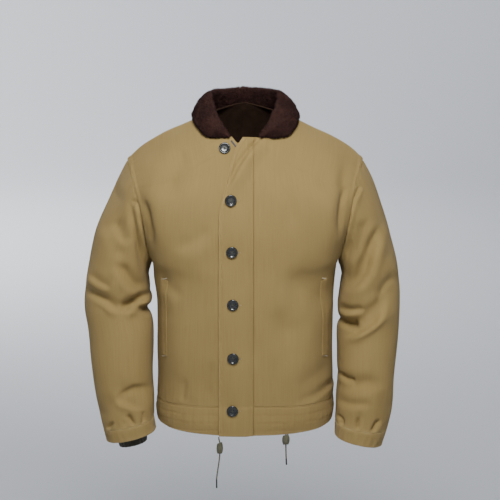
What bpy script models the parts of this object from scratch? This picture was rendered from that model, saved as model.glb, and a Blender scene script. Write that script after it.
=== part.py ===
"""Deck jacket: corded cotton shell, pile collar, buttoned fly, slash pockets, drawstring hem.

The jacket hangs on a general figure with its arms down. Metres, +Z up, front towards -Y.
The origin is the middle of the neck opening, level with the neck points of the shoulders.
"Right" and "left" are the wearer's, so right is at -X.
"""

import functools
import math

import bmesh
import bpy
import numpy as np
from mathutils import Vector
from mathutils.bvhtree import BVHTree

# Thickness of the cloth and the gaps between pieces
WALL = 0.003
CUFF_WALL = 0.004
SEAM = 0.0003
LIE_ON = 0.0003
# Wider gaps, where a piece lies across the flats of the panel under it
FLY_CLEAR = 0.0010
WELT_CLEAR = 0.0007
KNIT_CLEAR = 0.0014
KNOT_GAP = 0.0005

# Grid of the body: rows run across it, from the hem seam to the shoulder seam
ROWS_BELOW_ARM = 7
ROWS_AT_ARM = 12
FRONT_COLUMNS = 11
BACK_COLUMNS = 9
UNDERARM_V = 0.40
ROUND_POWER = 0.83
NECK_V = 0.80

# Neckline, seen from above as two half ellipses
NECK_HALF_WIDTH = 0.085
NECK_FRONT_Y = -0.092
NECK_BACK_Y = 0.078
NECK_FRONT_Z = -0.024
NECK_SIDE_Z = 0.004
NECK_BACK_Z = 0.020

# Hem band
HEM_FRONT_Z = -0.631
HEM_SIDE_Z = -0.626
HEM_BACK_Z = -0.632
HEM_BAND_WALL = 0.004
HEM_BELLY = 0.0015

# Fly flap: its edge, its seam to the left front, and the roll of its unbuttoned top
FLY_EDGE_X = -0.0525
FLY_SEAM_X = 0.0172
FLY_COLUMNS = 7
# Height and place of the flap's free edge; below the first row it is straight
FLY_EDGE = (
    (-0.155, -0.0525),
    (-0.134, -0.0450),
    (-0.113, -0.0403),
    (-0.088, -0.0337),
    (-0.064, -0.0242),
    (-0.048, -0.0176),
    (-0.034, -0.0070),
    (-0.024, -0.0036),
)
# The right front's top corner: level and how far its edge stands from the middle plane
CORNER_CUT = ((0.765, 0.0), (0.80, 0.0167), (0.84, 0.0265))
ROLL_HEIGHT = 0.008
ROLL_STEP = 0.011
ROLL_REACH = 0.045

# Buttons
BUTTON_RADIUS = 0.0117
BUTTON_RIM = 0.0042
BUTTON_STEPS = 18
# Radius and height of the button's outline from its foot to its dished middle, as shares
BUTTON_PROFILE = (
    (0.00, 0.00),
    (0.45, 0.00),
    (0.50, 0.22),
    (0.92, 0.30),
    (1.00, 0.62),
    (0.92, 0.98),
    (0.78, 1.00),
    (0.58, 0.62),
    (0.00, 0.58),
)

# Pile collar
COLLAR_CLEAR = 0.0012
# Sections between two rows of the panels, at the neck
COLLAR_STEPS = 3
COLLAR_TIP_DEG = 20.0
# Search for the cloth under the collar: steps, how far in the first lies, and how far they go
COLLAR_MARCH = 24
COLLAR_FIRST = 0.0012
COLLAR_FARTHEST = 0.055

# Round the neck from its tips (20 degrees from the centre front) to the back: how far the fold
# line rises and leans in, how far the fall reaches over each shoulder, and how thick the pile is
COLLAR_COLUMNS = ("angle", "rise", "inward", "reach_right", "reach_left", "pile")
COLLAR = (
    (20.0, 0.002, 0.0000, 0.0020, 0.0020, 0.005),
    (25.0, 0.009, 0.0020, 0.0030, 0.0030, 0.008),
    (30.0, 0.017, 0.0050, 0.0060, 0.0070, 0.010),
    (37.5, 0.022, 0.0090, 0.0120, 0.0130, 0.011),
    (45.0, 0.027, 0.0140, 0.0185, 0.0200, 0.011),
    (52.5, 0.032, 0.0170, 0.0190, 0.0265, 0.011),
    (60.0, 0.036, 0.0200, 0.0160, 0.0235, 0.011),
    (75.0, 0.041, 0.0230, 0.0140, 0.0200, 0.011),
    (90.0, 0.046, 0.0225, 0.0165, 0.0200, 0.011),
    (120.0, 0.043, 0.0160, 0.0250, 0.0270, 0.011),
    (150.0, 0.037, 0.0100, 0.0340, 0.0340, 0.011),
    (180.0, 0.032, 0.0060, 0.0380, 0.0380, 0.011),
)

# Zip end on the right front
ZIP_X = (-0.0270, -0.0180)
ZIP_Z = (-0.0310, -0.0420)
ZIP_WIDTH = 0.0035
ZIP_THICK = 0.0010

# Sleeves and cuffs
SLEEVE_POINTS = 24
SLEEVE_ROWS = 24
KNIT_RIBS = 20
KNIT_WALL = 0.002
KNIT_RIB = 0.0009

# Drawstring
CORD_RADIUS = 0.0015
KNOT_WRAPS = 4
DRAWSTRING = {
    "right": {
        "y": -0.1500,
        "exit": (-0.0535, -0.1495, -0.6320),
        "bend": (-0.0528, -0.1500, -0.6370),
        "knot_x": -0.0512,
        "knot_z": -0.6680,
        "knot_height": 0.0250,
        "knot_radius": 0.0070,
        "sway": (-0.0550, -0.1500, -0.6990),
        "tip_top": (-0.0580, -0.1500, -0.7220),
        "tip_end": (-0.0578, -0.1500, -0.7410),
    },
    "left": {
        "y": -0.1356,
        "knot_x": 0.0835,
        "knot_z": -0.6534,
        "knot_height": 0.0225,
        "knot_radius": 0.0080,
        "sway": (0.0838, -0.1356, -0.6690),
        "tip_top": (0.0842, -0.1356, -0.6820),
        "tip_end": (0.0850, -0.1356, -0.6960),
    },
}

# One row per level of a front panel. "in" is its point at the centre front, "out" its point at
# the side seam or armhole. round: how far the level follows a rounded quarter instead of a
# straight line. fall: how soon it drops. droop: how much of the drop comes at its outer end.
FRONT_LEVELS = {
    "columns": ("v", "in_y", "in_z", "out_x", "out_y", "out_z", "round", "bulge", "fall", "droop"),
    "hem seam": (0.00, -0.1470, -0.567, 0.1840, 0.000, -0.580, 1.00, 0.000, 1.0, 0.0),
    "waist": (0.20, -0.1490, -0.470, 0.1825, 0.000, -0.475, 1.00, 0.000, 1.0, 0.0),
    "pocket top": (0.32, -0.1480, -0.395, 0.1835, 0.000, -0.370, 1.00, 0.000, 1.0, 0.0),
    "underarm": (0.40, -0.1470, -0.335, 0.1900, 0.000, -0.300, 1.00, 0.000, 1.0, 0.0),
    "low armhole": (0.50, -0.1460, -0.280, 0.1935, -0.044, -0.276, 0.95, 0.004, 1.0, 0.0),
    "mid armhole": (0.62, -0.1410, -0.190, 0.2050, -0.078, -0.212, 0.80, 0.012, 1.3, 0.0),
    "chest": (0.72, -0.1230, -0.100, 0.2150, -0.081, -0.163, 0.65, 0.022, 1.7, 0.0),
    "neck": (0.80, -0.0920, -0.024, 0.2225, -0.068, -0.130, 0.50, 0.026, 2.0, 0.0),
    "collar bone": (0.90, -0.0920, -0.024, 0.2315, -0.036, -0.102, 0.30, 0.018, 1.4, 0.1),
    "shoulder seam": (1.00, -0.0920, -0.024, 0.2400, 0.004, -0.086, 0.05, 0.000, 1.0, 0.25),
}

# The same for half of the back, from the centre back to the side seam or armhole
BACK_LEVELS = {
    "columns": ("v", "in_y", "in_z", "out_x", "out_y", "out_z", "round", "bulge", "fall", "droop"),
    "hem seam": (0.00, 0.1360, -0.574, 0.1840, 0.000, -0.580, 1.00, 0.000, 1.0, 0.0),
    "waist": (0.20, 0.1300, -0.470, 0.1825, 0.000, -0.475, 1.00, 0.000, 1.0, 0.0),
    "pocket top": (0.32, 0.1300, -0.390, 0.1835, 0.000, -0.370, 1.00, 0.000, 1.0, 0.0),
    "underarm": (0.40, 0.1320, -0.325, 0.1900, 0.000, -0.300, 1.00, 0.000, 1.0, 0.0),
    "low armhole": (0.50, 0.1350, -0.270, 0.1945, 0.046, -0.276, 0.95, 0.002, 1.0, 0.0),
    "mid armhole": (0.62, 0.1380, -0.175, 0.2075, 0.083, -0.210, 0.85, 0.006, 1.2, 0.0),
    "shoulder blade": (0.72, 0.1220, -0.070, 0.2180, 0.088, -0.160, 0.75, 0.014, 1.3, 0.0),
    "neck": (0.80, 0.0780, 0.020, 0.2250, 0.074, -0.127, 0.55, 0.016, 1.3, 0.0),
    "yoke": (0.90, 0.0780, 0.020, 0.2330, 0.042, -0.101, 0.30, 0.010, 1.2, 0.1),
    "shoulder seam": (1.00, 0.0780, 0.020, 0.2400, 0.004, -0.086, 0.05, 0.000, 1.0, 0.25),
}

# Sleeves from the armhole to the cuff seam: "top" is the outer silhouette, "under" the inner one
SLEEVE_COLUMNS = ("t", "top_x", "top_z", "under_x", "under_z", "mid_y", "half_depth")
RIGHT_SLEEVE = {
    "armhole": (0.00, 0.2400, -0.086, 0.1900, -0.300, 0.000, 0.083),
    "cap": (0.08, 0.2565, -0.121, 0.1960, -0.312, 0.000, 0.082),
    "upper arm": (0.17, 0.2785, -0.164, 0.2000, -0.327, 0.001, 0.080),
    "biceps": (0.26, 0.2975, -0.206, 0.2015, -0.345, 0.001, 0.078),
    "above elbow": (0.38, 0.3150, -0.261, 0.2000, -0.364, 0.000, 0.076),
    "elbow top": (0.48, 0.3250, -0.310, 0.1970, -0.382, -0.002, 0.074),
    "elbow": (0.58, 0.3325, -0.384, 0.2010, -0.400, -0.004, 0.071),
    "forearm": (0.68, 0.3265, -0.438, 0.1915, -0.434, -0.010, 0.070),
    "mid forearm": (0.80, 0.3170, -0.528, 0.1945, -0.518, -0.024, 0.066),
    "wrist": (0.91, 0.3065, -0.598, 0.1890, -0.583, -0.036, 0.061),
    "cuff seam": (1.00, 0.2955, -0.641, 0.1895, -0.619, -0.043, 0.056),
}
LEFT_SLEEVE = {
    "armhole": (0.00, 0.2400, -0.086, 0.1900, -0.300, 0.000, 0.083),
    "cap": (0.08, 0.2570, -0.117, 0.1960, -0.312, 0.000, 0.082),
    "upper arm": (0.17, 0.2720, -0.155, 0.2000, -0.327, 0.001, 0.080),
    "biceps": (0.26, 0.2885, -0.202, 0.2010, -0.345, 0.001, 0.078),
    "above elbow": (0.38, 0.3035, -0.254, 0.1990, -0.366, 0.000, 0.076),
    "elbow top": (0.48, 0.3155, -0.310, 0.1950, -0.388, -0.002, 0.074),
    "elbow": (0.58, 0.3215, -0.384, 0.1960, -0.414, -0.004, 0.071),
    "forearm": (0.68, 0.3180, -0.453, 0.1905, -0.452, -0.010, 0.070),
    "mid forearm": (0.80, 0.3110, -0.532, 0.1960, -0.533, -0.024, 0.066),
    "wrist": (0.91, 0.3065, -0.594, 0.1880, -0.592, -0.036, 0.061),
    "cuff seam": (1.00, 0.2955, -0.647, 0.1865, -0.628, -0.043, 0.056),
}

# Lower edge of each cuff, as seen from the front
RIGHT_CUFF_EDGE = {"top_x": 0.2880, "top_z": -0.669, "under_x": 0.1850, "under_z": -0.6455}
LEFT_CUFF_EDGE = {"top_x": 0.2850, "top_z": -0.679, "under_x": 0.1862, "under_z": -0.6570}
CUFF_HALF_DEPTH = 0.052
CUFF_MID_Y = -0.047

# Knit cuffs, from their seam inside the sleeve down to the wrist edge
KNIT_LEVELS = (("seam", 0.10, 0.0), ("gather", 0.62, 0.45), ("wrist", 0.92, 0.9), ("edge", 1.66, 1.0))
KNIT_WRIST_RADIUS = 0.0290

# Soft folds of the fronts and the back, in the front view: ends, width, depth (minus: a trough)
FOLD_COLUMNS = ("x0", "z0", "x1", "z1", "width", "depth")
RIGHT_FRONT_FOLDS = (
    (-0.206, -0.150, -0.190, -0.225, 0.012, -0.005),
    (-0.188, -0.120, -0.170, -0.235, 0.022, 0.003),
    (-0.115, -0.050, -0.140, -0.150, 0.022, -0.003),
    (-0.140, -0.330, -0.135, -0.500, 0.026, 0.003),
    (-0.080, -0.400, -0.070, -0.560, 0.020, -0.002),
)
LEFT_FRONT_FOLDS = (
    (0.200, -0.095, 0.190, -0.195, 0.012, -0.005),
    (0.176, -0.110, 0.172, -0.230, 0.020, 0.003),
    (0.105, -0.330, 0.075, -0.430, 0.030, -0.004),
    (0.150, -0.380, 0.120, -0.500, 0.026, 0.003),
    (0.110, -0.530, 0.170, -0.500, 0.018, -0.002),
)
BACK_FOLDS = (
    (-0.185, -0.130, -0.165, -0.250, 0.020, -0.005),
    (0.187, -0.125, 0.165, -0.260, 0.022, -0.005),
    (-0.060, -0.480, -0.075, -0.560, 0.020, -0.003),
    (0.040, -0.470, 0.060, -0.565, 0.022, 0.003),
    (0.120, -0.420, 0.140, -0.550, 0.022, -0.003),
    (-0.130, -0.400, -0.140, -0.540, 0.024, -0.003),
)
# Folds of the sleeves, with the face they lie on: -1 front, 1 back, 0 all round
SLEEVE_FOLD_COLUMNS = FOLD_COLUMNS + ("face",)
RIGHT_SLEEVE_FOLDS = (
    (0.226, -0.170, 0.208, -0.285, 0.008, -0.010, -1),
    (0.286, -0.215, 0.250, -0.270, 0.014, -0.005, -1),
    (0.228, -0.375, 0.195, -0.398, 0.010, -0.009, 0),
    (0.332, -0.345, 0.285, -0.378, 0.012, -0.005, -1),
    (0.318, -0.318, 0.265, -0.335, 0.014, 0.004, -1),
    (0.262, -0.545, 0.205, -0.565, 0.018, -0.005, -1),
    (0.300, -0.610, 0.275, -0.570, 0.012, -0.004, -1),
    (0.245, -0.625, 0.240, -0.590, 0.008, -0.003, -1),
    (0.325, -0.360, 0.230, -0.400, 0.014, -0.006, 1),
    (0.300, -0.300, 0.225, -0.345, 0.016, -0.005, 1),
    (0.290, -0.500, 0.210, -0.530, 0.018, -0.004, 1),
)
LEFT_SLEEVE_FOLDS = (
    (0.222, -0.160, 0.204, -0.270, 0.008, -0.008, -1),
    (0.272, -0.222, 0.200, -0.355, 0.013, -0.006, -1),
    (0.315, -0.335, 0.205, -0.430, 0.013, -0.007, -1),
    (0.300, -0.395, 0.225, -0.440, 0.014, 0.004, -1),
    (0.225, -0.415, 0.192, -0.424, 0.010, -0.008, 0),
    (0.262, -0.530, 0.200, -0.540, 0.016, -0.006, 0),
    (0.300, -0.600, 0.285, -0.560, 0.012, -0.003, -1),
    (0.235, -0.632, 0.235, -0.595, 0.008, -0.003, -1),
    (0.320, -0.370, 0.225, -0.420, 0.014, -0.006, 1),
    (0.300, -0.280, 0.225, -0.330, 0.016, -0.005, 1),
    (0.290, -0.510, 0.210, -0.540, 0.018, -0.004, 1),
)

# Pocket welts: height range, inner and outer edge in the front view
WELT_TOP_Z = -0.3185
WELT_BOTTOM_Z = -0.4770
WELT_INNER_X = 0.1560
WELT_OUTER_X = 0.1700
WELT_THICK = 0.0022

# Place of each button and how far its foot clears the cloth; the top one is sewn to the right front and left undone
BUTTONS = {
    "button_1": {"x": -0.0402, "z": -0.0450, "lift": 0.0003},
    "button_2": {"x": -0.0283, "z": -0.1440, "lift": 0.0008},
    "button_3": {"x": -0.0258, "z": -0.2463, "lift": 0.0003},
    "button_4": {"x": -0.0240, "z": -0.3545, "lift": 0.0003},
    "button_5": {"x": -0.0236, "z": -0.4655, "lift": 0.0003},
    "button_6": {"x": -0.0250, "z": -0.5750, "lift": 0.0009},
}


def material(name, colour, roughness, metallic=0.0):
    """A plain Principled material."""
    made = bpy.data.materials.new(name)
    made.use_nodes = True
    shader = made.node_tree.nodes["Principled BSDF"]
    shader.inputs["Base Color"].default_value = (*colour, 1.0)
    shader.inputs["Roughness"].default_value = roughness
    shader.inputs["Metallic"].default_value = metallic
    return made


def spline(stations, values, at):
    """Values read from a smooth curve through the stations (Catmull-Rom with uneven steps)."""
    x = np.asarray(stations, float)
    y = np.asarray(values, float)
    slope = np.gradient(y, x, axis=0)
    k = int(np.clip(np.searchsorted(x, at) - 1, 0, len(x) - 2))
    h = x[k + 1] - x[k]
    s = (at - x[k]) / h
    return (
        y[k] * (1 + 2 * s) * (1 - s) ** 2
        + y[k + 1] * s * s * (3 - 2 * s)
        + h * slope[k] * s * (1 - s) ** 2
        + h * slope[k + 1] * s * s * (s - 1)
    )


def smoothstep(low, high, value):
    s = min(1.0, max(0.0, (value - low) / (high - low)))
    return s * s * (3 - 2 * s)


def unit(vector):
    return vector / max(float(np.linalg.norm(vector)), 1e-12)


@functools.cache
def level_at(panel, v):
    """The columns of a panel's level table at height v, as a dictionary."""
    table = FRONT_LEVELS if panel == "front" else BACK_LEVELS
    names = table["columns"]
    rows = np.array([row for key, row in table.items() if key != "columns"])
    return dict(zip(names, spline(rows[:, 0], rows, v), strict=True))


def section_at(table, t):
    """The columns of a sleeve table at t, as a dictionary."""
    rows = np.array(list(table.values()))
    return dict(zip(SLEEVE_COLUMNS, spline(rows[:, 0], rows, t), strict=True))


def neckline(angle):
    """The neckline at an angle from the centre front (0) over the shoulder (90) to the back (180)."""
    turn = math.radians(angle)
    x = NECK_HALF_WIDTH * math.sin(turn)
    if angle <= 90:
        rise = (NECK_SIDE_Z - NECK_FRONT_Z) * (1 - math.cos(turn))
        return np.array([x, NECK_FRONT_Y * math.cos(turn), NECK_FRONT_Z + rise])
    rise = (NECK_BACK_Z - NECK_SIDE_Z) * (1 - math.sin(turn))
    return np.array([x, -NECK_BACK_Y * math.cos(turn), NECK_SIDE_Z + rise])


def fold_height(folds, x, z):
    """How far soft folds lift or sink the cloth at a place in the front view."""
    total = 0.0
    for x0, z0, x1, z1, width, depth in (fold[:6] for fold in folds):
        along = np.array([x1 - x0, z1 - z0])
        length = float(np.linalg.norm(along))
        along /= length
        offset = np.array([x - x0, z - z0])
        run = float(offset @ along)
        across = abs(float(offset[0] * along[1] - offset[1] * along[0]))
        end = smoothstep(-0.35 * length, 0.25 * length, run)
        end *= 1 - smoothstep(0.75 * length, 1.35 * length, run)
        total += depth * end * math.exp(-((across / width) ** 2))
    return total


def crease_x(z):
    """The roll crease of the unbuttoned fly top, from the neck down to the second button."""
    return spline((-0.150, -0.120, -0.090, -0.060, -0.020), (-0.042, -0.037, -0.022, -0.002, 0.032), z)


def roll_height(x, z):
    """The cloth stands forward just beyond the roll crease and settles again towards the side."""
    beyond = x - crease_x(z)
    if beyond < 0 or z < -0.14:
        return 0.0
    lift = smoothstep(0, ROLL_STEP, beyond) * (1 - smoothstep(ROLL_STEP, ROLL_REACH, beyond))
    return ROLL_HEIGHT * lift * smoothstep(-0.138, -0.090, z) * (1 - 0.6 * smoothstep(-0.06, -0.02, z))


@functools.cache
def plain_body_point(panel, u, v):
    """A point of one half of a panel without folds: u from the centre to the side, v upwards."""
    level = level_at(panel, v)
    start = np.array([0.0, level["in_y"], level["in_z"]])
    if v > NECK_V:
        share = 90.0 * (v - NECK_V) / (1 - NECK_V)
        start = neckline(share if panel == "front" else 180.0 - share)
    u = min(1.0, max(0.0, u))
    quarter = 0.5 * math.pi * u
    bend = level["round"]
    across = (1 - bend) * u + bend * math.sin(quarter) ** ROUND_POWER
    back_in = (1 - bend) * u + bend * (1 - max(0.0, math.cos(quarter)) ** ROUND_POWER)
    drop = (1 - level["droop"]) * (1 - (1 - u) ** level["fall"]) + level["droop"] * u**6
    end = np.array([level["out_x"], level["out_y"] if v > UNDERARM_V else 0.0, level["out_z"]])
    point = start + (end - start) * np.array([across, back_in, drop])
    forward = -1.0 if panel == "front" else 1.0
    point[1] += forward * level["bulge"] * math.sin(math.pi * u)
    return point


@functools.cache
def body_normal(panel, u, v):
    """Outward normal of the plain body surface, shared by both pieces where they meet at a seam."""
    if v > 0.999:
        return unit(one_normal("front", u, 0.999) + one_normal("back", u, 0.999))
    if v < UNDERARM_V + 1e-6 and u > 0.999:
        return np.array([1.0, 0.0, 0.0])
    return one_normal(panel, u, v)


def one_normal(panel, u, v):
    step = 0.004
    u0, u1 = max(0.0, u - step), min(1.0, u + step)
    v0, v1 = max(0.0, v - step), min(0.999, v + step)
    if v0 < NECK_V < v1:
        v0, v1 = (v0, NECK_V) if v <= NECK_V else (NECK_V, v1)
    if u < step and v > NECK_V:
        u0, u1 = step, 3 * step
    across = plain_body_point(panel, u1, v) - plain_body_point(panel, u0, v)
    rising = plain_body_point(panel, 0.5 * (u0 + u1), v1) - plain_body_point(panel, 0.5 * (u0 + u1), v0)
    normal = unit(np.cross(across, rising))
    if panel == "back":
        normal = -normal
    if u < 1e-6 and v <= NECK_V:
        normal[0] = 0.0
        normal = unit(normal)
    return normal


def mirrored(point, side):
    return point * np.array([side, 1.0, 1.0])


def body_point(panel, side, u, v, rise=0.0, folds=(), rolled=False):
    """A point of the cloth: side is -1 for the wearer's right, rise is measured outwards."""
    normal = mirrored(body_normal(panel, u, v), side)
    plain = mirrored(plain_body_point(panel, u, v), side)
    height = fold_height(folds, plain[0], plain[2])
    if rolled:
        height += roll_height(plain[0], plain[2])
    return plain + normal * (rise + height)


@functools.cache
def u_at(panel, x, v):
    """The u at which a level reaches x, measured from the middle plane."""
    steps = np.linspace(0.0, 1.0, 81)
    reached = [plain_body_point(panel, u, v)[0] for u in steps]
    return float(np.interp(x, reached, steps))


def neck_v_at(x):
    """The v at which the neckline is x away from the middle plane."""
    turn = math.degrees(math.asin(min(1.0, abs(x) / NECK_HALF_WIDTH)))
    return NECK_V + (1 - NECK_V) * turn / 90.0


def v_at_height(panel, x, z):
    """The v at which the panel reaches height z at a distance x from the middle plane."""
    steps = np.linspace(0.0, neck_v_at(x), 61)
    reached = [plain_body_point(panel, u_at(panel, x, v), v)[2] for v in steps]
    return float(np.interp(z, reached, steps))


def wall(name, outer, inner, finish, ring=False):
    """A closed wall between an outer and an inner grid of points, rows first."""
    mesh = bmesh.new()
    add_wall(mesh, outer, inner, ring)
    return finished(name, mesh, finish)


def add_wall(mesh, outer, inner, ring=False, joined_rows=0):
    """Faces of one wall; the first column has no edge face below joined_rows, where it goes on."""
    far, near = ([[mesh.verts.new(point) for point in row] for row in grid] for grid in (outer, inner))
    rows, columns = len(outer), len(outer[0])
    last = columns if ring else columns - 1
    made = []
    for r in range(rows - 1):
        for c in range(last):
            d = (c + 1) % columns
            made.append(mesh.faces.new([far[r][c], far[r][d], far[r + 1][d], far[r + 1][c]]))
            made.append(mesh.faces.new([near[r][d], near[r][c], near[r + 1][c], near[r + 1][d]]))
    for c in range(last):
        d = (c + 1) % columns
        made.append(mesh.faces.new([far[0][d], far[0][c], near[0][c], near[0][d]]))
        made.append(mesh.faces.new([far[-1][c], far[-1][d], near[-1][d], near[-1][c]]))
    if ring:
        return made
    for r in range(rows - 1):
        if r >= joined_rows:
            made.append(mesh.faces.new([far[r][0], far[r + 1][0], near[r + 1][0], near[r][0]]))
        made.append(mesh.faces.new([far[r + 1][-1], far[r][-1], near[r][-1], near[r + 1][-1]]))
    return made


def loft(name, loops, finish):
    """A closed solid through closed loops of points, with its two ends filled."""
    mesh = bmesh.new()
    rings = [[mesh.verts.new(point) for point in loop] for loop in loops]
    count = len(loops[0])
    for first, second in zip(rings, rings[1:], strict=False):
        for c in range(count):
            d = (c + 1) % count
            mesh.faces.new([first[c], first[d], second[d], second[c]])
    mesh.faces.new(rings[0][::-1])
    mesh.faces.new(rings[-1])
    return finished(name, mesh, finish)


def finished(name, mesh, finish):
    """The mesh as a smooth object with its faces outwards."""
    if mesh.calc_volume(signed=True) < 0:
        bmesh.ops.reverse_faces(mesh, faces=mesh.faces[:])
    data = bpy.data.meshes.new(name)
    mesh.to_mesh(data)
    mesh.free()
    data.materials.append(finish)
    data.shade_smooth()
    data.set_sharp_from_angle(angle=math.radians(45))
    made = bpy.data.objects.new(name, data)
    bpy.context.scene.collection.objects.link(made)
    return made


def row_levels():
    """The v of every row: even steps below the underarm, and even steps along the armhole."""
    below = [round(UNDERARM_V * r / ROWS_BELOW_ARM, 6) for r in range(ROWS_BELOW_ARM)]
    above = [round(UNDERARM_V + (1 - UNDERARM_V) * r / ROWS_AT_ARM, 6) for r in range(ROWS_AT_ARM + 1)]
    return below + above


def seam_shift(panel, u, v):
    """Pieces stop half a seam gap short of the side seam and the shoulder seam."""
    inward = -1.0 if panel == "front" else 1.0
    at_side = u > 0.999 and v <= UNDERARM_V + 1e-6
    at_shoulder = v > 0.999
    return np.array([0.0, inward * SEAM / 2 * (at_side or at_shoulder), 0.0])


def row_place(panel, v, c, columns, first_x):
    """The u and v of column c in a row; the row level with the neck starts on the neckline."""
    first = first_x(v)
    start = u_at(panel, first, v) if first > 0 else 0.0
    if c == 0 and abs(v - NECK_V) < 1e-6 and first > FLY_SEAM_X:
        return 0.0, neck_v_at(first)
    return start + (1 - start) * c / columns, v


def panel_grid(panel, side, rise, columns, first_x, folds, rolled=False):
    """Rows of points of one half panel; first_x(v) is where each row starts."""
    grid = []
    for level in row_levels():
        row = []
        for c in range(columns + 1):
            u, v = row_place(panel, level, c, columns, first_x)
            row.append(body_point(panel, side, u, v, rise, folds, rolled) + seam_shift(panel, u, v))
        grid.append(row)
    return grid


def right_front_start(v):
    """The right front reaches the middle plane, and its top corner is cut back below the neck."""
    if v > CORNER_CUT[-1][0]:
        return 0.0
    heights, starts = zip(*CORNER_CUT, strict=True)
    return float(np.interp(v, heights, starts))


def left_front_start(v):
    """The left front starts at the fly seam, until the neckline itself lies further out."""
    return FLY_SEAM_X + SEAM if v < 0.86 else 0.0


def make_fronts(cloth):
    for name, side, start, folds, rolled in (
        ("front_right", -1, right_front_start, RIGHT_FRONT_FOLDS, False),
        ("front_left", 1, left_front_start, LEFT_FRONT_FOLDS, True),
    ):
        outer, inner = (
            panel_grid("front", side, rise, FRONT_COLUMNS, start, folds, rolled) for rise in (0.0, -WALL)
        )
        wall(name, outer, inner, cloth)


def make_back(cloth):
    """One piece on both sides of the middle plane; above the neck its halves stand apart."""
    mesh = bmesh.new()
    joined = ROWS_BELOW_ARM + round(ROWS_AT_ARM * (NECK_V - UNDERARM_V) / (1 - UNDERARM_V))
    for side in (-1, 1):
        outer, inner = (
            panel_grid("back", side, rise, BACK_COLUMNS, lambda v: 0.0, BACK_FOLDS) for rise in (0.0, -WALL)
        )
        made = add_wall(mesh, outer, inner, joined_rows=joined)
        if side < 0:
            bmesh.ops.reverse_faces(mesh, faces=made)
    bmesh.ops.remove_doubles(mesh, verts=mesh.verts[:], dist=1e-6)
    return finished("back", mesh, cloth)


def band_point(panel, side, u, drop, rise=0.0, folds=(), rolled=False):
    """A point of the hem band: drop goes from 0 at its seam to 1 at the lower edge."""
    top = body_point(panel, side, u, 0.0, rise, folds, rolled)
    middle_z = HEM_FRONT_Z if panel == "front" else HEM_BACK_Z
    bottom_z = middle_z + (HEM_SIDE_Z - middle_z) * u**2
    belly = HEM_BELLY * math.sin(math.pi * drop)
    point = top + mirrored(body_normal(panel, u, 0.0), side) * belly
    point[2] = (top[2] - SEAM) + (bottom_z - top[2] + SEAM) * drop
    return point


def make_hem_bands(cloth):
    drops = (0.0, 0.5, 1.0)
    for name, side, first, folds in (
        ("hem_band_right", -1, 0.0, RIGHT_FRONT_FOLDS),
        ("hem_band_left", 1, u_at("front", FLY_SEAM_X + SEAM, 0.0), LEFT_FRONT_FOLDS),
    ):
        grids = []
        for rise in (0.0, -HEM_BAND_WALL):
            grids.append([
                [
                    band_point("front", side, u, drop, rise, folds) + seam_shift("front", u, 0.0)
                    for u in np.linspace(first, 1.0, FRONT_COLUMNS + 1)
                ]
                for drop in drops
            ])
        wall(name, *grids, cloth)
    grids = []
    for rise in (0.0, -HEM_BAND_WALL):
        rows = []
        for drop in drops:
            half = np.linspace(0.0, 1.0, BACK_COLUMNS + 1)
            right, left = (
                [band_point("back", side, u, drop, rise, BACK_FOLDS) + seam_shift("back", u, 0.0) for u in half]
                for side in (-1, 1)
            )
            rows.append(right[::-1] + left[1:])
        grids.append(rows)
    wall("hem_band_back", *grids, cloth)


def fly_lift(x):
    """The flap lies on the right front and comes down level with the left front at its seam."""
    return (FLY_CLEAR + WALL) * (1 - smoothstep(0.002, FLY_SEAM_X, x))


def fly_point(x, v, rise=0.0, drop=None):
    """A point of the flap's outer face, or of its inner one at a rise of -WALL."""
    side = -1 if x < 0 else 1
    lift = fly_lift(x) + rise
    if drop is not None:
        lift += HEM_BAND_WALL - WALL
        return band_point("front", side, u_at("front", abs(x), 0.0), drop, lift, LEFT_FRONT_FOLDS)
    return body_point("front", side, u_at("front", abs(x), v), v, lift, LEFT_FRONT_FOLDS, True)


def fly_edge_x(z):
    """The flap's free edge: straight when buttoned, and drawn back where its top is undone."""
    heights, places = zip(*FLY_EDGE, strict=True)
    return float(np.interp(z, heights, places))


def fly_levels():
    """The panel's own rows up to the neck, with one between each two beside the armhole."""
    levels = [v for v in row_levels() if v < NECK_V + 1e-6]
    between = [0.5 * (a + b) for a, b in zip(levels, levels[1:], strict=False) if a > UNDERARM_V - 1e-6]
    return sorted(levels + between)


def make_fly_flap(cloth):
    shares = np.linspace(0.0, 1.0, FLY_COLUMNS + 1)
    grids = []
    for rise in (0.0, -WALL):
        rows = []
        for drop in (1.0, 0.5):
            places = FLY_EDGE_X + (FLY_SEAM_X - FLY_EDGE_X) * shares
            rows.append([fly_point(x, 0.0, rise, drop) for x in places])
        for level in fly_levels():
            edge = fly_edge_x(level_at("front", level)["in_z"])
            places = edge + (FLY_SEAM_X - edge) * shares
            near_neck = smoothstep(0.9 * NECK_V, NECK_V, level)
            heights = [level + (neck_v_at(x) - NECK_V) * near_neck for x in places]
            rows.append([fly_point(x, v, rise) for x, v in zip(places, heights, strict=True)])
        grids.append(rows)
    wall("fly_flap", *grids, cloth)


def frame_at(table, t):
    """Middle, outward axis, run axis and half widths of a sleeve at t, before mirroring."""
    row = section_at(table, t)
    top = np.array([row["top_x"], row["mid_y"], row["top_z"]])
    under = np.array([row["under_x"], row["mid_y"], row["under_z"]])
    outward = unit(top - under)
    run = np.array([outward[2], 0.0, -outward[0]])
    return 0.5 * (top + under), outward, run, 0.5 * float(np.linalg.norm(top - under)), row["half_depth"]


def rounded(value, power=0.89):
    return math.copysign(abs(value) ** power, value)


def armhole_place(angle):
    """Panel and v of the armhole at an angle from the shoulder over the front."""
    if angle <= math.pi:
        return "front", 1 - (1 - UNDERARM_V) * angle / math.pi
    return "back", 1 - (1 - UNDERARM_V) * (2 - angle / math.pi)


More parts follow.
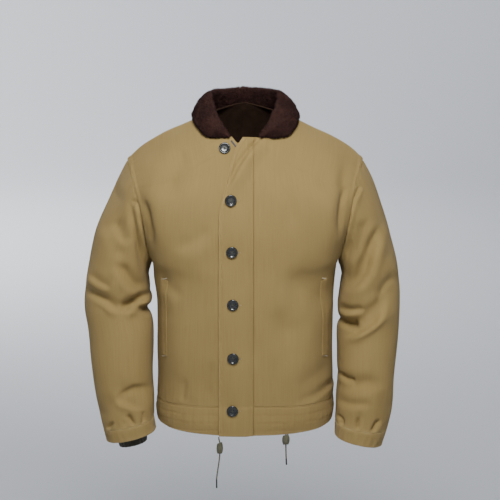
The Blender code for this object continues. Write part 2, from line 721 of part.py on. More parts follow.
def plain_sleeve_point(table, t, angle):
    """A point of the sleeve without folds: it leaves the armhole's own outline and turns round."""
    middle, outward, run, half_width, half_depth = frame_at(table, t)
    first_middle, first_out, first_run, first_width, first_depth = frame_at(table, 0.0)
    panel, v = armhole_place(angle)
    from_middle = plain_body_point(panel, 1.0, v) - first_middle
    blend = smoothstep(0.0, 0.30, t)
    a = (1 - blend) * float(from_middle @ first_out) / first_width + blend * rounded(math.cos(angle))
    b = (1 - blend) * float(from_middle[1]) / first_depth - blend * rounded(math.sin(angle))
    c = (1 - blend) * float(from_middle @ first_run)
    return middle + outward * half_width * a + np.array([0.0, half_depth * b, 0.0]) + run * c


def sleeve_normal(table, t, angle):
    step, turn = 0.01, 0.12
    t0, t1 = max(0.0, t - step), min(1.0, t + step)
    along = plain_sleeve_point(table, t1, angle) - plain_sleeve_point(table, t0, angle)
    around = plain_sleeve_point(table, t, angle + turn) - plain_sleeve_point(table, t, angle - turn)
    normal = unit(np.cross(around, along))
    middle = frame_at(table, t)[0]
    if float(normal @ (plain_sleeve_point(table, t, angle) - middle)) < 0:
        normal = -normal
    if t > 0.995:
        run = frame_at(table, 1.0)[2]
        normal = unit(normal - run * float(normal @ run))
    return normal


def sleeve_point(table, folds, side, t, angle, rise=0.0):
    """A point of the sleeve with its folds, mirrored to its side."""
    normal = sleeve_normal(table, t, angle)
    plain = plain_sleeve_point(table, t, angle)
    height = 0.0
    for fold in folds:
        facing = 1.0 if fold[6] == 0 else smoothstep(-0.1, 0.5, float(normal[1]) * fold[6])
        if facing > 0:
            height += facing * fold_height((fold,), plain[0], plain[2])
    height *= smoothstep(0.02, 0.10, t) * (1 - smoothstep(0.97, 1.0, t))
    return mirrored(plain + normal * (rise + height), side)


def make_sleeve(name, table, folds, body_folds, side, cloth):
    angles = [2 * math.pi * c / SLEEVE_POINTS for c in range(SLEEVE_POINTS)]
    outer, inner = [], []
    for r in range(SLEEVE_ROWS + 1):
        t = r / SLEEVE_ROWS
        outer.append([sleeve_point(table, folds, side, t, angle) for angle in angles])
        inner.append([sleeve_point(table, folds, side, t, angle, -WALL) for angle in angles])
    for c, angle in enumerate(angles):
        panel, v = armhole_place(angle)
        folded = body_folds if panel == "front" else BACK_FOLDS
        edge, under = (body_point(panel, side, 1.0, v, rise, folded, side > 0) for rise in (0.0, -WALL))
        away = unit(outer[1][c] - edge)
        body_out = mirrored(body_normal(panel, 1.0, v), side)
        sleeve_out = mirrored(sleeve_normal(table, 0.0, angle), side)
        level = smoothstep(0.0, 0.5, float(body_out @ sleeve_out))
        start = edge + SEAM * unit(away + (1 - level) * body_out)
        own = start - sleeve_out * WALL
        shared = under + SEAM * away
        outer[0][c] = start
        inner[0][c] = level * shared + (1 - level) * own
    wall(name, outer, inner, cloth, ring=True)


def cuff_ring(table, edge, side, share, shrink, count, ripple=None):
    """A ring of the cuff: share 0 at its seam, 1 at its lower edge; shrink is taken off all round."""
    middle, outward, run, half_width, half_depth = frame_at(table, 1.0)
    top = np.array([edge["top_x"], CUFF_MID_Y, edge["top_z"]])
    under = np.array([edge["under_x"], CUFF_MID_Y, edge["under_z"]])
    low_middle, low_out = 0.5 * (top + under), unit(top - under)
    low_width = 0.5 * float(np.linalg.norm(top - under))
    start = middle + run * SEAM
    centre = start + (low_middle - start) * share
    axis = unit(outward + (low_out - outward) * min(1.0, share))
    width = half_width + (low_width - half_width) * min(1.0, share)
    depth = half_depth + (CUFF_HALF_DEPTH - half_depth) * min(1.0, share)
    points = []
    for c in range(count):
        angle = 2 * math.pi * c / count
        grown = ripple(c) if ripple else 0.0
        a, b = shrink(width) + grown, shrink(depth) + grown
        offset = axis * a * rounded(math.cos(angle)) - np.array([0.0, b * rounded(math.sin(angle)), 0.0])
        points.append(mirrored(centre + offset, side))
    return points


def make_cuff(name, table, edge, side, cloth):
    shares = (0.0, 0.5, 1.0)
    outer = [cuff_ring(table, edge, side, s, lambda w: w, SLEEVE_POINTS) for s in shares]
    inner = [cuff_ring(table, edge, side, s, lambda w: w - CUFF_WALL, SLEEVE_POINTS) for s in shares]
    wall(name, outer, inner, cloth, ring=True)


def make_knit_cuff(name, table, edge, side, levels, knit):
    """Ribs stand out of the outer face; the inner face is plain."""
    outer, inner = [], []
    for _, share, snug in levels:

        def closed_in(width, snug=snug):
            return (1 - snug) * (width - CUFF_WALL - KNIT_CLEAR - KNIT_RIB) + snug * KNIT_WRIST_RADIUS

        def rib(c):
            return KNIT_RIB if c % 2 else 0.0

        outer.append(cuff_ring(table, edge, side, share, closed_in, 2 * KNIT_RIBS, rib))
        inner.append(cuff_ring(table, edge, side, share, lambda w: closed_in(w) - KNIT_WALL, 2 * KNIT_RIBS))
    wall(name, outer, inner, knit, ring=True)


def panel_flats():
    """The outer flats of the panels, to lie the collar on."""
    points, faces = [], []
    for panel, columns, side, start, folds in (
        ("front", FRONT_COLUMNS, -1, right_front_start, RIGHT_FRONT_FOLDS),
        ("front", FRONT_COLUMNS, 1, left_front_start, LEFT_FRONT_FOLDS),
        ("back", BACK_COLUMNS, -1, lambda v: 0.0, BACK_FOLDS),
        ("back", BACK_COLUMNS, 1, lambda v: 0.0, BACK_FOLDS),
    ):
        grid = panel_grid(panel, side, 0.0, columns, start, folds, panel == "front" and side > 0)
        first = len(points)
        points += [point for row in grid for point in row]
        for r in range(len(grid) - 1):
            for c in range(columns):
                at = first + r * (columns + 1) + c
                faces.append((at, at + 1, at + columns + 2, at + columns + 1))
    return BVHTree.FromPolygons([tuple(point) for point in points], faces)


def collar_run(flats, start, out):
    """Places on the panels straight out from the neckline: distance along the cloth, point, normal."""
    found = []
    for step in range(COLLAR_MARCH + 1):
        plan = start + out * (COLLAR_FIRST + COLLAR_FARTHEST * step / COLLAR_MARCH)
        hit, normal, _, _ = flats.ray_cast((plan[0], plan[1], 0.2), (0.0, 0.0, -1.0))
        if hit is None:
            hit, normal, _, _ = flats.ray_cast((plan[0], plan[1] - 2 * SEAM, 0.2), (0.0, 0.0, -1.0))
        if hit is None:
            continue
        normal = np.array(normal if normal[2] > 0 else -normal)
        point = np.array(hit)
        gone = found[-1][0] + float(np.linalg.norm(point - found[-1][1])) if found else 0.0
        found.append((gone, point, normal))
    return found


def collar_section(angle, flats):
    """One closed loop of the collar across its width, lying on the panels' own flats."""
    side = 1 if angle >= 0 else -1
    turn = abs(angle)
    row = dict(zip(COLLAR_COLUMNS, spline([r[0] for r in COLLAR], np.array(COLLAR), turn), strict=True))
    start = mirrored(neckline(turn), side)
    way = math.radians(turn)
    out = unit(np.array([side * math.sin(way), -math.cos(way), 0.0]))
    found = collar_run(flats, start, out)
    gone = [place[0] for place in found]

    def lying(distance, rise):
        point = np.array([np.interp(distance, gone, [place[1][k] for place in found]) for k in range(3)])
        normal = np.array([np.interp(distance, gone, [place[2][k] for place in found]) for k in range(3)])
        return point + unit(normal) * rise

    up = np.array([0.0, 0.0, 1.0])
    root = lying(0.0, COLLAR_CLEAR)
    crest = root + up * row["rise"] - out * row["inward"]
    pile, reach = row["pile"], row["reach_left" if side > 0 else "reach_right"]
    slope = unit(lying(reach, 0.0) - lying(0.8 * reach, 0.0))
    fall_top = lying(0.94 * reach, COLLAR_CLEAR + pile)
    crest_out = crest + out * 0.95 * pile - up * 0.15 * pile
    return [
        root,
        lying(0.33 * reach, 2 * COLLAR_CLEAR),
        lying(0.67 * reach, 2 * COLLAR_CLEAR),
        lying(reach, 2 * COLLAR_CLEAR),
        lying(reach, 2 * COLLAR_CLEAR + 0.5 * pile) + slope * 0.35 * pile,
        fall_top,
        0.66 * fall_top + 0.34 * crest_out + out * 0.40 * pile + up * 0.15 * pile,
        0.33 * fall_top + 0.67 * crest_out + out * 0.45 * pile + up * 0.25 * pile,
        crest_out,
        crest + out * 0.5 * pile + up * 0.2 * pile,
        crest,
        0.5 * (crest + root) - out * 0.08 * pile,
    ]


def make_collar(pile_cloth):
    """From tip to tip round the back, with sections on every row of the panels and between."""
    flats = panel_flats()
    step = 90.0 / (ROWS_AT_ARM * (1 - NECK_V) / (1 - UNDERARM_V)) / COLLAR_STEPS
    half = [COLLAR_TIP_DEG] + [k * step for k in range(COLLAR_STEPS, round(180.0 / step) + 1)]
    turns = half + [-turn for turn in half[-2::-1]]
    loft("collar", [collar_section(turn, flats) for turn in turns], pile_cloth)


def make_welts(cloth):
    for name, side, folds in (
        ("pocket_welt_right", -1, RIGHT_FRONT_FOLDS),
        ("pocket_welt_left", 1, LEFT_FRONT_FOLDS),
    ):
        low, high = (v_at_height("front", WELT_INNER_X, z) for z in (WELT_BOTTOM_Z, WELT_TOP_Z))
        places = np.linspace(WELT_INNER_X, WELT_OUTER_X, 4)
        grids = []
        for thick in (WELT_THICK, 0.0):
            rows = []
            for v in (low + (high - low) * share / 7 for share in range(8)):
                rises = WELT_CLEAR + thick * np.array([0.8, 1.0, 1.0, 0.7])
                rows.append([
                    body_point("front", side, u_at("front", x, v), v, rise, folds)
                    for x, rise in zip(places, rises, strict=True)
                ])
            grids.append(rows)
        wall(name, *grids, cloth)


def turned(name, profile, steps, finish):
    """A solid turned about its own Z axis from a profile of (radius, height), axis to axis."""
    mesh = bmesh.new()
    verts = [mesh.verts.new((radius, 0.0, height)) for radius, height in profile]
    edges = [mesh.edges.new(pair) for pair in zip(verts, verts[1:], strict=False)]
    bmesh.ops.spin(
        mesh, geom=verts + edges, axis=(0, 0, 1), cent=(0, 0, 0), angle=2 * math.pi, steps=steps, use_merge=True
    )
    bmesh.ops.remove_doubles(mesh, verts=mesh.verts[:], dist=1e-6)
    bmesh.ops.recalc_face_normals(mesh, faces=mesh.faces[:])
    return finished(name, mesh, finish)


def make_buttons(horn):
    profile = [(radius * BUTTON_RADIUS, height * BUTTON_RIM) for radius, height in BUTTON_PROFILE]
    for name, place in BUTTONS.items():
        x, z = place["x"], place["z"]
        if name == "button_1":
            v = v_at_height("front", abs(x), z)
            u = u_at("front", abs(x), v)
            base = body_point("front", -1, u, v, 0.0, RIGHT_FRONT_FOLDS)
            normal = mirrored(body_normal("front", u, v), -1)
        elif z < FRONT_LEVELS["hem seam"][2]:
            drop = (z - FRONT_LEVELS["hem seam"][2]) / (HEM_FRONT_Z - FRONT_LEVELS["hem seam"][2])
            seam, middle = fly_point(x, 0.0), fly_point(x, 0.0, 0.0, 0.5)
            base = seam + (middle - seam) * (drop / 0.5)
            normal = mirrored(body_normal("front", u_at("front", abs(x), 0.0), 0.0), -1)
        else:
            v = v_at_height("front", abs(x), z)
            base = fly_point(x, v)
            normal = mirrored(body_normal("front", u_at("front", abs(x), v), v), -1)
        made = turned(name, profile, BUTTON_STEPS, horn)
        made.rotation_euler = Vector(normal).to_track_quat("Z", "Y").to_euler()
        made.location = base + normal * place["lift"]


def make_zip_end(metal):
    """The top end of the zip, on the cut-back corner of the right front."""
    grids = []
    for thick in (ZIP_THICK, 0.0):
        rows = []
        for x, z in zip(np.linspace(*ZIP_X, 4), np.linspace(*ZIP_Z, 4), strict=True):
            row = []
            for shift in (-0.5, 0.5):
                place = abs(x + shift * ZIP_WIDTH * 0.77)
                v = v_at_height("front", place, z - shift * ZIP_WIDTH * -0.64)
                u = u_at("front", place, v)
                row.append(body_point("front", -1, u, v, LIE_ON + thick, RIGHT_FRONT_FOLDS))
            rows.append(row)
        grids.append(rows)
    wall("zip_end", *grids, metal)


def cord_run(name, points, finish):
    """A tube on a smooth curve through the points."""
    knots = np.array(points)
    stations = np.concatenate([[0.0], np.cumsum(np.linalg.norm(np.diff(knots, axis=0), axis=1))])
    count = max(4, round(stations[-1] / (5 * CORD_RADIUS)))
    line = [spline(stations, knots, at) for at in np.linspace(0.0, stations[-1], count + 1)]
    data = bpy.data.curves.new(name, "CURVE")
    data.dimensions = "3D"
    data.bevel_depth = CORD_RADIUS
    data.bevel_resolution = 2
    data.use_fill_caps = True
    run = data.splines.new("POLY")
    run.points.add(len(line) - 1)
    for place, point in zip(run.points, line, strict=True):
        place.co = (*point, 1.0)
    data.materials.append(finish)
    made = bpy.data.objects.new(name, data)
    bpy.context.scene.collection.objects.link(made)
    return made


def make_knot(name, place, finish):
    """A stopper knot of a few wraps, turned about a vertical axis."""
    profile = [(0.0, 0.0)]
    for step in range(4 * KNOT_WRAPS + 1):
        share = step / (4 * KNOT_WRAPS)
        body = math.sin(math.pi * (0.12 + 0.76 * share)) ** 0.5
        wrap = 1 + 0.07 * math.cos(2 * math.pi * KNOT_WRAPS * share + math.pi)
        profile.append((place["knot_radius"] * body * wrap, place["knot_height"] * share))
    profile.append((0.0, place["knot_height"]))
    made = turned(name, profile, 12, finish)
    made.location = (place["knot_x"], place["y"], place["knot_z"])


def make_tip(name, top, bottom, finish):
    """The stiff dark end of the cord."""
    length = float(np.linalg.norm(np.array(top) - np.array(bottom)))
    wide = 1.12 * CORD_RADIUS
    profile = [(0.0, 0.0), (0.6 * wide, 0.0), (wide, 0.0012), (wide, length), (0.0, length)]
    made = turned(name, profile, 10, finish)
    made.rotation_euler = (Vector(top) - Vector(bottom)).to_track_quat("Z", "Y").to_euler()
    made.location = bottom


def make_drawstring(cord, tip):
    """The two free ends of the hem drawstring, each with a knot and a tip."""
    for side, place in DRAWSTRING.items():
        y = place["y"]
        if "exit" in place:
            end = (place["knot_x"], y, place["knot_z"] + place["knot_height"] + KNOT_GAP)
            cord_run(f"drawstring_{side}_upper", [place["exit"], place["bend"], end], cord)
        make_knot(f"knot_{side}", place, cord)
        start = (place["knot_x"], y, place["knot_z"] - LIE_ON)
        cord_run(f"drawstring_{side}_lower", [start, place["sway"], place["tip_top"]], cord)
        below = tuple(np.array(place["tip_top"]) - np.array([0.0, 0.0, LIE_ON]))
        make_tip(f"tip_{side}", below, place["tip_end"], tip)


def clear_scene():
    for thing in list(bpy.data.objects):
        bpy.data.objects.remove(thing, do_unlink=True)


def main():
    clear_scene()
    cloth = material("corded_cotton", (0.36, 0.27, 0.14), 0.85)
    pile = material("brown_pile", (0.035, 0.015, 0.013), 0.95)
    knit = material("olive_knit", (0.06, 0.055, 0.03), 0.9)
    horn = material("dark_button", (0.02, 0.022, 0.024), 0.3)
    metal = material("dark_zip", (0.03, 0.03, 0.03), 0.45, 0.6)
    cord = material("olive_cord", (0.13, 0.13, 0.09), 0.9)
    tip = material("dark_tip", (0.02, 0.02, 0.02), 0.4)
    make_fronts(cloth)
    make_back(cloth)
    make_hem_bands(cloth)
    make_fly_flap(cloth)
    make_sleeve("sleeve_right", RIGHT_SLEEVE, RIGHT_SLEEVE_FOLDS, RIGHT_FRONT_FOLDS, -1, cloth)
    make_sleeve("sleeve_left", LEFT_SLEEVE, LEFT_SLEEVE_FOLDS, LEFT_FRONT_FOLDS, 1, cloth)
    make_cuff("cuff_right", RIGHT_SLEEVE, RIGHT_CUFF_EDGE, -1, cloth)
    make_cuff("cuff_left", LEFT_SLEEVE, LEFT_CUFF_EDGE, 1, cloth)
    make_knit_cuff("knit_cuff_right", RIGHT_SLEEVE, RIGHT_CUFF_EDGE, -1, KNIT_LEVELS, knit)
    make_knit_cuff("knit_cuff_left", LEFT_SLEEVE, LEFT_CUFF_EDGE, 1, KNIT_LEVELS[:3], knit)
    make_collar(pile)
    make_welts(cloth)
    make_zip_end(metal)
    make_buttons(horn)
    make_drawstring(cord, tip)


main()
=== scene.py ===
"""Looks of the deck jacket: corded cotton shell, pile collar, stitches, buttons and cords.

Each cloth piece is a thin shell on the form of its solid. Metres, +Z up, front towards -Y.
"Right" and "left" are the wearer's, so right is at -X.
"""

import math

import bmesh
import bpy
import numpy as np
from mathutils import Matrix, Vector, noise


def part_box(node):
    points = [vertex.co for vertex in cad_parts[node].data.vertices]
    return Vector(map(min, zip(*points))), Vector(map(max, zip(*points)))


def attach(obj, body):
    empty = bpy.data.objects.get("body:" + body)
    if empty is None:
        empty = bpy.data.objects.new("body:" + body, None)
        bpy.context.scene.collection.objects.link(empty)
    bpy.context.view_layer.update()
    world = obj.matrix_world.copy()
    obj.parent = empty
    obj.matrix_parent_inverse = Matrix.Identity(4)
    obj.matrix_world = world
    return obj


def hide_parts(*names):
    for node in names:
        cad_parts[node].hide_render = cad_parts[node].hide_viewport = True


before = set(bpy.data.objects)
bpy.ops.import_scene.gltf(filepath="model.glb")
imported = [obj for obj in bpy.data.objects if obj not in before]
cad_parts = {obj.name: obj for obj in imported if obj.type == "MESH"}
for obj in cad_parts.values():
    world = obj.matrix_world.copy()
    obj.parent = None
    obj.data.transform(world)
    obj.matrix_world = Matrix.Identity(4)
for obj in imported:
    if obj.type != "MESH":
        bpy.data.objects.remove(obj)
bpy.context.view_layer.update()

# Thickness of the cloth and the gaps between pieces
WALL = 0.003
CUFF_WALL = 0.004
SEAM = 0.0003

# Body levels
UNDERARM_V = 0.40
ROUND_POWER = 0.83
NECK_V = 0.80

# Neckline, seen from above as two half ellipses
NECK_HALF_WIDTH = 0.085
NECK_FRONT_Y = -0.092
NECK_BACK_Y = 0.078
NECK_FRONT_Z = -0.024
NECK_SIDE_Z = 0.004
NECK_BACK_Z = 0.020

# Hem band
HEM_FRONT_Z = -0.631
HEM_SIDE_Z = -0.626
HEM_BACK_Z = -0.632
HEM_BAND_WALL = 0.004
HEM_BELLY = 0.0015

# Fly flap
FLY_CLEAR = 0.0010
FLY_EDGE_X = -0.0525
FLY_SEAM_X = 0.0172
# Height and place of the flap's free edge; below the first row it is straight
FLY_EDGE = (
    (-0.155, -0.0525), (-0.134, -0.0450), (-0.113, -0.0403), (-0.088, -0.0337),
    (-0.064, -0.0242), (-0.048, -0.0176), (-0.034, -0.0070), (-0.024, -0.0036),
)
# The right front's top corner: level and how far its edge stands from the middle plane
CORNER_CUT = ((0.765, 0.0), (0.80, 0.0167), (0.84, 0.0265))
# The cloth beside the undone top: how far it stands forward, over what width, and its crease
ROLL_HEIGHT = 0.008
ROLL_STEP = 0.011
ROLL_REACH = 0.045
ROLL_CREASE = 0.0042

# One row per level of a front panel. "in" is its point at the centre front, "out" its point at
# the side seam or armhole. round: how far the level follows a rounded quarter instead of a
# straight line. fall: how soon it drops. droop: how much of the drop comes at its outer end.
FRONT_LEVELS = {
    "columns": ("v", "in_y", "in_z", "out_x", "out_y", "out_z", "round", "bulge", "fall", "droop"),
    "hem seam": (0.00, -0.1470, -0.567, 0.1840, 0.000, -0.580, 1.00, 0.000, 1.0, 0.0),
    "waist": (0.20, -0.1490, -0.470, 0.1825, 0.000, -0.475, 1.00, 0.000, 1.0, 0.0),
    "pocket top": (0.32, -0.1480, -0.395, 0.1835, 0.000, -0.370, 1.00, 0.000, 1.0, 0.0),
    "underarm": (0.40, -0.1470, -0.335, 0.1900, 0.000, -0.300, 1.00, 0.000, 1.0, 0.0),
    "low armhole": (0.50, -0.1460, -0.280, 0.1935, -0.044, -0.276, 0.95, 0.004, 1.0, 0.0),
    "mid armhole": (0.62, -0.1410, -0.190, 0.2050, -0.078, -0.212, 0.80, 0.012, 1.3, 0.0),
    "chest": (0.72, -0.1230, -0.100, 0.2150, -0.081, -0.163, 0.65, 0.022, 1.7, 0.0),
    "neck": (0.80, -0.0920, -0.024, 0.2225, -0.068, -0.130, 0.50, 0.026, 2.0, 0.0),
    "collar bone": (0.90, -0.0920, -0.024, 0.2315, -0.036, -0.102, 0.30, 0.018, 1.4, 0.1),
    "shoulder seam": (1.00, -0.0920, -0.024, 0.2400, 0.004, -0.086, 0.05, 0.000, 1.0, 0.25),
}

# The same for half of the back, from the centre back to the side seam or armhole
BACK_LEVELS = {
    "columns": ("v", "in_y", "in_z", "out_x", "out_y", "out_z", "round", "bulge", "fall", "droop"),
    "hem seam": (0.00, 0.1360, -0.574, 0.1840, 0.000, -0.580, 1.00, 0.000, 1.0, 0.0),
    "waist": (0.20, 0.1300, -0.470, 0.1825, 0.000, -0.475, 1.00, 0.000, 1.0, 0.0),
    "pocket top": (0.32, 0.1300, -0.390, 0.1835, 0.000, -0.370, 1.00, 0.000, 1.0, 0.0),
    "underarm": (0.40, 0.1320, -0.325, 0.1900, 0.000, -0.300, 1.00, 0.000, 1.0, 0.0),
    "low armhole": (0.50, 0.1350, -0.270, 0.1945, 0.046, -0.276, 0.95, 0.002, 1.0, 0.0),
    "mid armhole": (0.62, 0.1380, -0.175, 0.2075, 0.083, -0.210, 0.85, 0.006, 1.2, 0.0),
    "shoulder blade": (0.72, 0.1220, -0.070, 0.2180, 0.088, -0.160, 0.75, 0.014, 1.3, 0.0),
    "neck": (0.80, 0.0780, 0.020, 0.2250, 0.074, -0.127, 0.55, 0.016, 1.3, 0.0),
    "yoke": (0.90, 0.0780, 0.020, 0.2330, 0.042, -0.101, 0.30, 0.010, 1.2, 0.1),
    "shoulder seam": (1.00, 0.0780, 0.020, 0.2400, 0.004, -0.086, 0.05, 0.000, 1.0, 0.25),
}

# Sleeves from the armhole to the cuff seam, "top" the outer silhouette and "under" the inner one:
# t, top x, top z, under x, under z, middle y, half depth
RIGHT_SLEEVE = {
    "armhole": (0.00, 0.2400, -0.086, 0.1900, -0.300, 0.000, 0.083),
    "cap": (0.08, 0.2565, -0.121, 0.1960, -0.312, 0.000, 0.082),
    "upper arm": (0.17, 0.2785, -0.164, 0.1985, -0.327, 0.001, 0.080),
    "biceps": (0.26, 0.2975, -0.206, 0.1965, -0.345, 0.001, 0.078),
    "above elbow": (0.38, 0.3150, -0.261, 0.1938, -0.364, 0.000, 0.076),
    "elbow top": (0.48, 0.3250, -0.310, 0.1918, -0.382, -0.002, 0.074),
    "elbow": (0.58, 0.3325, -0.384, 0.1950, -0.400, -0.004, 0.071),
    "forearm": (0.68, 0.3265, -0.438, 0.1892, -0.434, -0.010, 0.070),
    "mid forearm": (0.80, 0.3170, -0.528, 0.1905, -0.518, -0.024, 0.066),
    "wrist": (0.91, 0.3065, -0.598, 0.1885, -0.583, -0.036, 0.061),
    "cuff seam": (1.00, 0.2955, -0.641, 0.1895, -0.619, -0.043, 0.056),
}
LEFT_SLEEVE = {
    "armhole": (0.00, 0.2400, -0.086, 0.1900, -0.300, 0.000, 0.083),
    "cap": (0.08, 0.2570, -0.117, 0.1960, -0.312, 0.000, 0.082),
    "upper arm": (0.17, 0.2720, -0.155, 0.1985, -0.327, 0.001, 0.080),
    "biceps": (0.26, 0.2885, -0.202, 0.1965, -0.345, 0.001, 0.078),
    "above elbow": (0.38, 0.3035, -0.254, 0.1938, -0.366, 0.000, 0.076),
    "elbow top": (0.48, 0.3155, -0.310, 0.1915, -0.388, -0.002, 0.074),
    "elbow": (0.58, 0.3215, -0.384, 0.1925, -0.414, -0.004, 0.071),
    "forearm": (0.68, 0.3180, -0.453, 0.1890, -0.452, -0.010, 0.070),
    "mid forearm": (0.80, 0.3110, -0.532, 0.1910, -0.533, -0.024, 0.066),
    "wrist": (0.91, 0.3065, -0.594, 0.1880, -0.592, -0.036, 0.061),
    "cuff seam": (1.00, 0.2955, -0.647, 0.1865, -0.628, -0.043, 0.056),
}

# Lower edge of each cuff, as seen from the front
RIGHT_CUFF_EDGE = {"top_x": 0.2880, "top_z": -0.669, "under_x": 0.1850, "under_z": -0.6455}
LEFT_CUFF_EDGE = {"top_x": 0.2850, "top_z": -0.679, "under_x": 0.1862, "under_z": -0.6570}
CUFF_HALF_DEPTH = 0.052
CUFF_MID_Y = -0.047

# Knit cuffs, from their seam inside the sleeve down to the wrist edge
KNIT_LEVELS = (("seam", 0.10, 0.0), ("gather", 0.62, 0.45), ("wrist", 0.92, 0.9), ("edge", 1.66, 1.0))
KNIT_WRIST_RADIUS = 0.0290

# Soft folds of the fronts and the back, in the front view, in millimetres:
# x and z of one end, x and z of the other, width, depth (minus: a trough)
MM = 0.001
RIGHT_FRONT_FOLDS = (
    (-206, -150, -190, -225, 12, -5),
    (-188, -120, -170, -235, 22, 3),
    (-115, -50, -140, -150, 22, -3),
    (-140, -330, -135, -500, 26, 3),
    (-80, -400, -70, -560, 20, -2),
)
LEFT_FRONT_FOLDS = (
    (200, -95, 190, -195, 12, -5),
    (176, -110, 172, -230, 20, 3),
    (105, -330, 75, -430, 30, -4),
    (150, -380, 120, -500, 26, 3),
    (110, -530, 170, -500, 18, -2),
)
BACK_FOLDS = (
    (-185, -130, -165, -250, 20, -5),
    (187, -125, 165, -260, 22, -5),
    (-60, -480, -75, -560, 20, -3),
    (40, -470, 60, -565, 22, 3),
    (120, -420, 140, -550, 22, -3),
    (-130, -400, -140, -540, 24, -3),
)
# The same for the sleeves, and the face that a fold lies on: -1 front, 1 back, 0 all round
RIGHT_SLEEVE_FOLDS = (
    (226, -170, 208, -285, 8, -10, -1),
    (286, -215, 250, -270, 14, -5, -1),
    (228, -375, 195, -398, 10, -9, 0),
    (332, -345, 285, -378, 12, -5, -1),
    (318, -318, 265, -335, 14, 4, -1),
    (262, -545, 205, -565, 18, -5, -1),
    (300, -610, 275, -570, 12, -4, -1),
    (245, -625, 240, -590, 8, -3, -1),
    (325, -360, 230, -400, 14, -6, 1),
    (300, -300, 225, -345, 16, -5, 1),
    (290, -500, 210, -530, 18, -4, 1),
)
LEFT_SLEEVE_FOLDS = (
    (222, -160, 204, -270, 8, -8, -1),
    (272, -222, 200, -355, 13, -6, -1),
    (315, -335, 205, -430, 13, -7, -1),
    (300, -395, 225, -440, 14, 4, -1),
    (225, -415, 192, -424, 10, -8, 0),
    (262, -530, 200, -540, 16, -6, 0),
    (300, -600, 285, -560, 12, -3, -1),
    (235, -632, 235, -595, 8, -3, -1),
    (320, -370, 225, -420, 14, -6, 1),
    (300, -280, 225, -330, 16, -5, 1),
    (290, -510, 210, -540, 18, -4, 1),
)

# Sharp creases, in the front view, in millimetres: face (as above), how wide the trough is on its
# upper and on its lower side, its depth, the height of the bank below it, and x and z of each point
CREASE_GAIN = 1.4
RIGHT_SLEEVE_CREASES = (
    (-1, 6, 5, 7, 3, 217.5, -156, 208.5, -170, 203.5, -200, 197.5, -232, 192.5, -262),
    (-1, 4, 3, 4, 1, 229, -163, 220, -157, 212, -161),
    (-1, 18, 10, 4.5, 2, 271.1, -197, 253, -225, 235.5, -250),
    (-1, 30, 22, 5, 1, 260, -127, 268, -180, 267.6, -239),
    (-1, 13, 6, 5, 2.2, 325, -312, 295, -328, 267.7, -335),
    (-1, 15, 5, 6, 3, 329, -350, 290.2, -364, 268.3, -378, 253.4, -394),
    (-1, 13, 8, 6, 3, 260, -282, 244.1, -306, 221, -333, 196.3, -349),
    (0, 13, 6, 12.5, 3, 256, -390, 228, -373, 190.1, -358),
    (-1, 6, 12, 5, 0, 270, -568, 241.1, -553, 222.5, -547, 185, -552),
    (-1, 13, 5, 4.5, 2, 264, -562, 249.6, -573, 233.2, -580, 202, -594),
    (-1, 4, 4, 5, 1, 270, -616, 279, -630, 285, -648),
    (-1, 4, 4, 5.5, 1.2, 242, -600, 235, -611, 225, -626),
    (-1, 3, 3, 3.5, 0.8, 211, -596, 208, -608, 210, -624),
    (1, 14, 6, 6, 2.5, 320, -330, 285, -352, 240, -362, 200, -360),
    (1, 12, 6, 5, 2, 290, -300, 250, -330, 205, -345),
    (1, 10, 6, 4.5, 2, 295, -545, 250, -560, 205, -552),
    (1, 4, 4, 4, 1, 260, -612, 256, -636),
)
LEFT_SLEEVE_CREASES = (
    (-1, 7, 6, 7.5, 3, 224, -120, 212.5, -152, 204.5, -187, 198, -225, 193, -262),
    (-1, 4, 3, 3.5, 1, 234, -128, 226, -142, 214, -158),
    (-1, 20, 8, 8.5, 3.5, 270, -205, 256.9, -260, 236.8, -316, 192.9, -351),
    (-1, 18, 10, 4.5, 2, 245, -190, 235, -235, 213, -290),
    (-1, 15, 8, 5, 2, 315, -318, 289, -335, 268.6, -366),
    (-1, 18, 4.5, 7, 3.2, 290, -360, 268, -402, 247.8, -420, 225.4, -434, 200, -446),
    (-1, 10, 5, 5, 2.2, 250, -380, 224.9, -387, 206.6, -390, 189, -394),
    (0, 6, 5, 6, 2.5, 230, -418, 210.9, -420, 189, -414),
    (0, 6, 5, 6, 2, 225, -531, 210, -530, 188, -526),
    (-1, 9, 7, 3, 1.2, 185, -579, 220.8, -580, 265, -577),
    (-1, 14, 10, 3, 1, 200, -546, 247.2, -539, 295, -546),
    (-1, 4, 4, 5, 1.2, 192, -608, 199, -618, 196, -634),
    (-1, 5, 4, 5.5, 1.2, 278, -612, 269, -626, 260, -642),
    (-1, 3, 3, 3.5, 0.8, 233, -606, 231, -620, 233, -636),
    (1, 14, 6, 6.5, 2.8, 315, -345, 280, -380, 235, -404, 198, -412),
    (1, 12, 6, 5, 2, 285, -290, 250, -335, 205, -358),
    (1, 10, 6, 4.5, 2, 290, -530, 245, -545, 200, -532),
    (1, 4, 4, 4, 1, 250, -616, 248, -640),
)
RIGHT_FRONT_CREASES = (
    (0, 8, 6, 4.5, 0, -204, -148, -197, -180, -191.5, -215, -187, -262),
    (0, 20, 14, 2.8, 1.2, -118, -40, -140, -85, -156, -150),
    (0, 16, 12, 2.5, 1, -70, -190, -100, -225, -150, -245),
    (0, 14, 10, 2.2, 1, -170, -300, -150, -330, -120, -345),
    (0, 12, 10, 1.8, 0.8, -60, -470, -75, -520, -72, -560),
    (0, 10, 8, 1.8, 0.8, -120, -510, -126, -545, -124, -570),
)
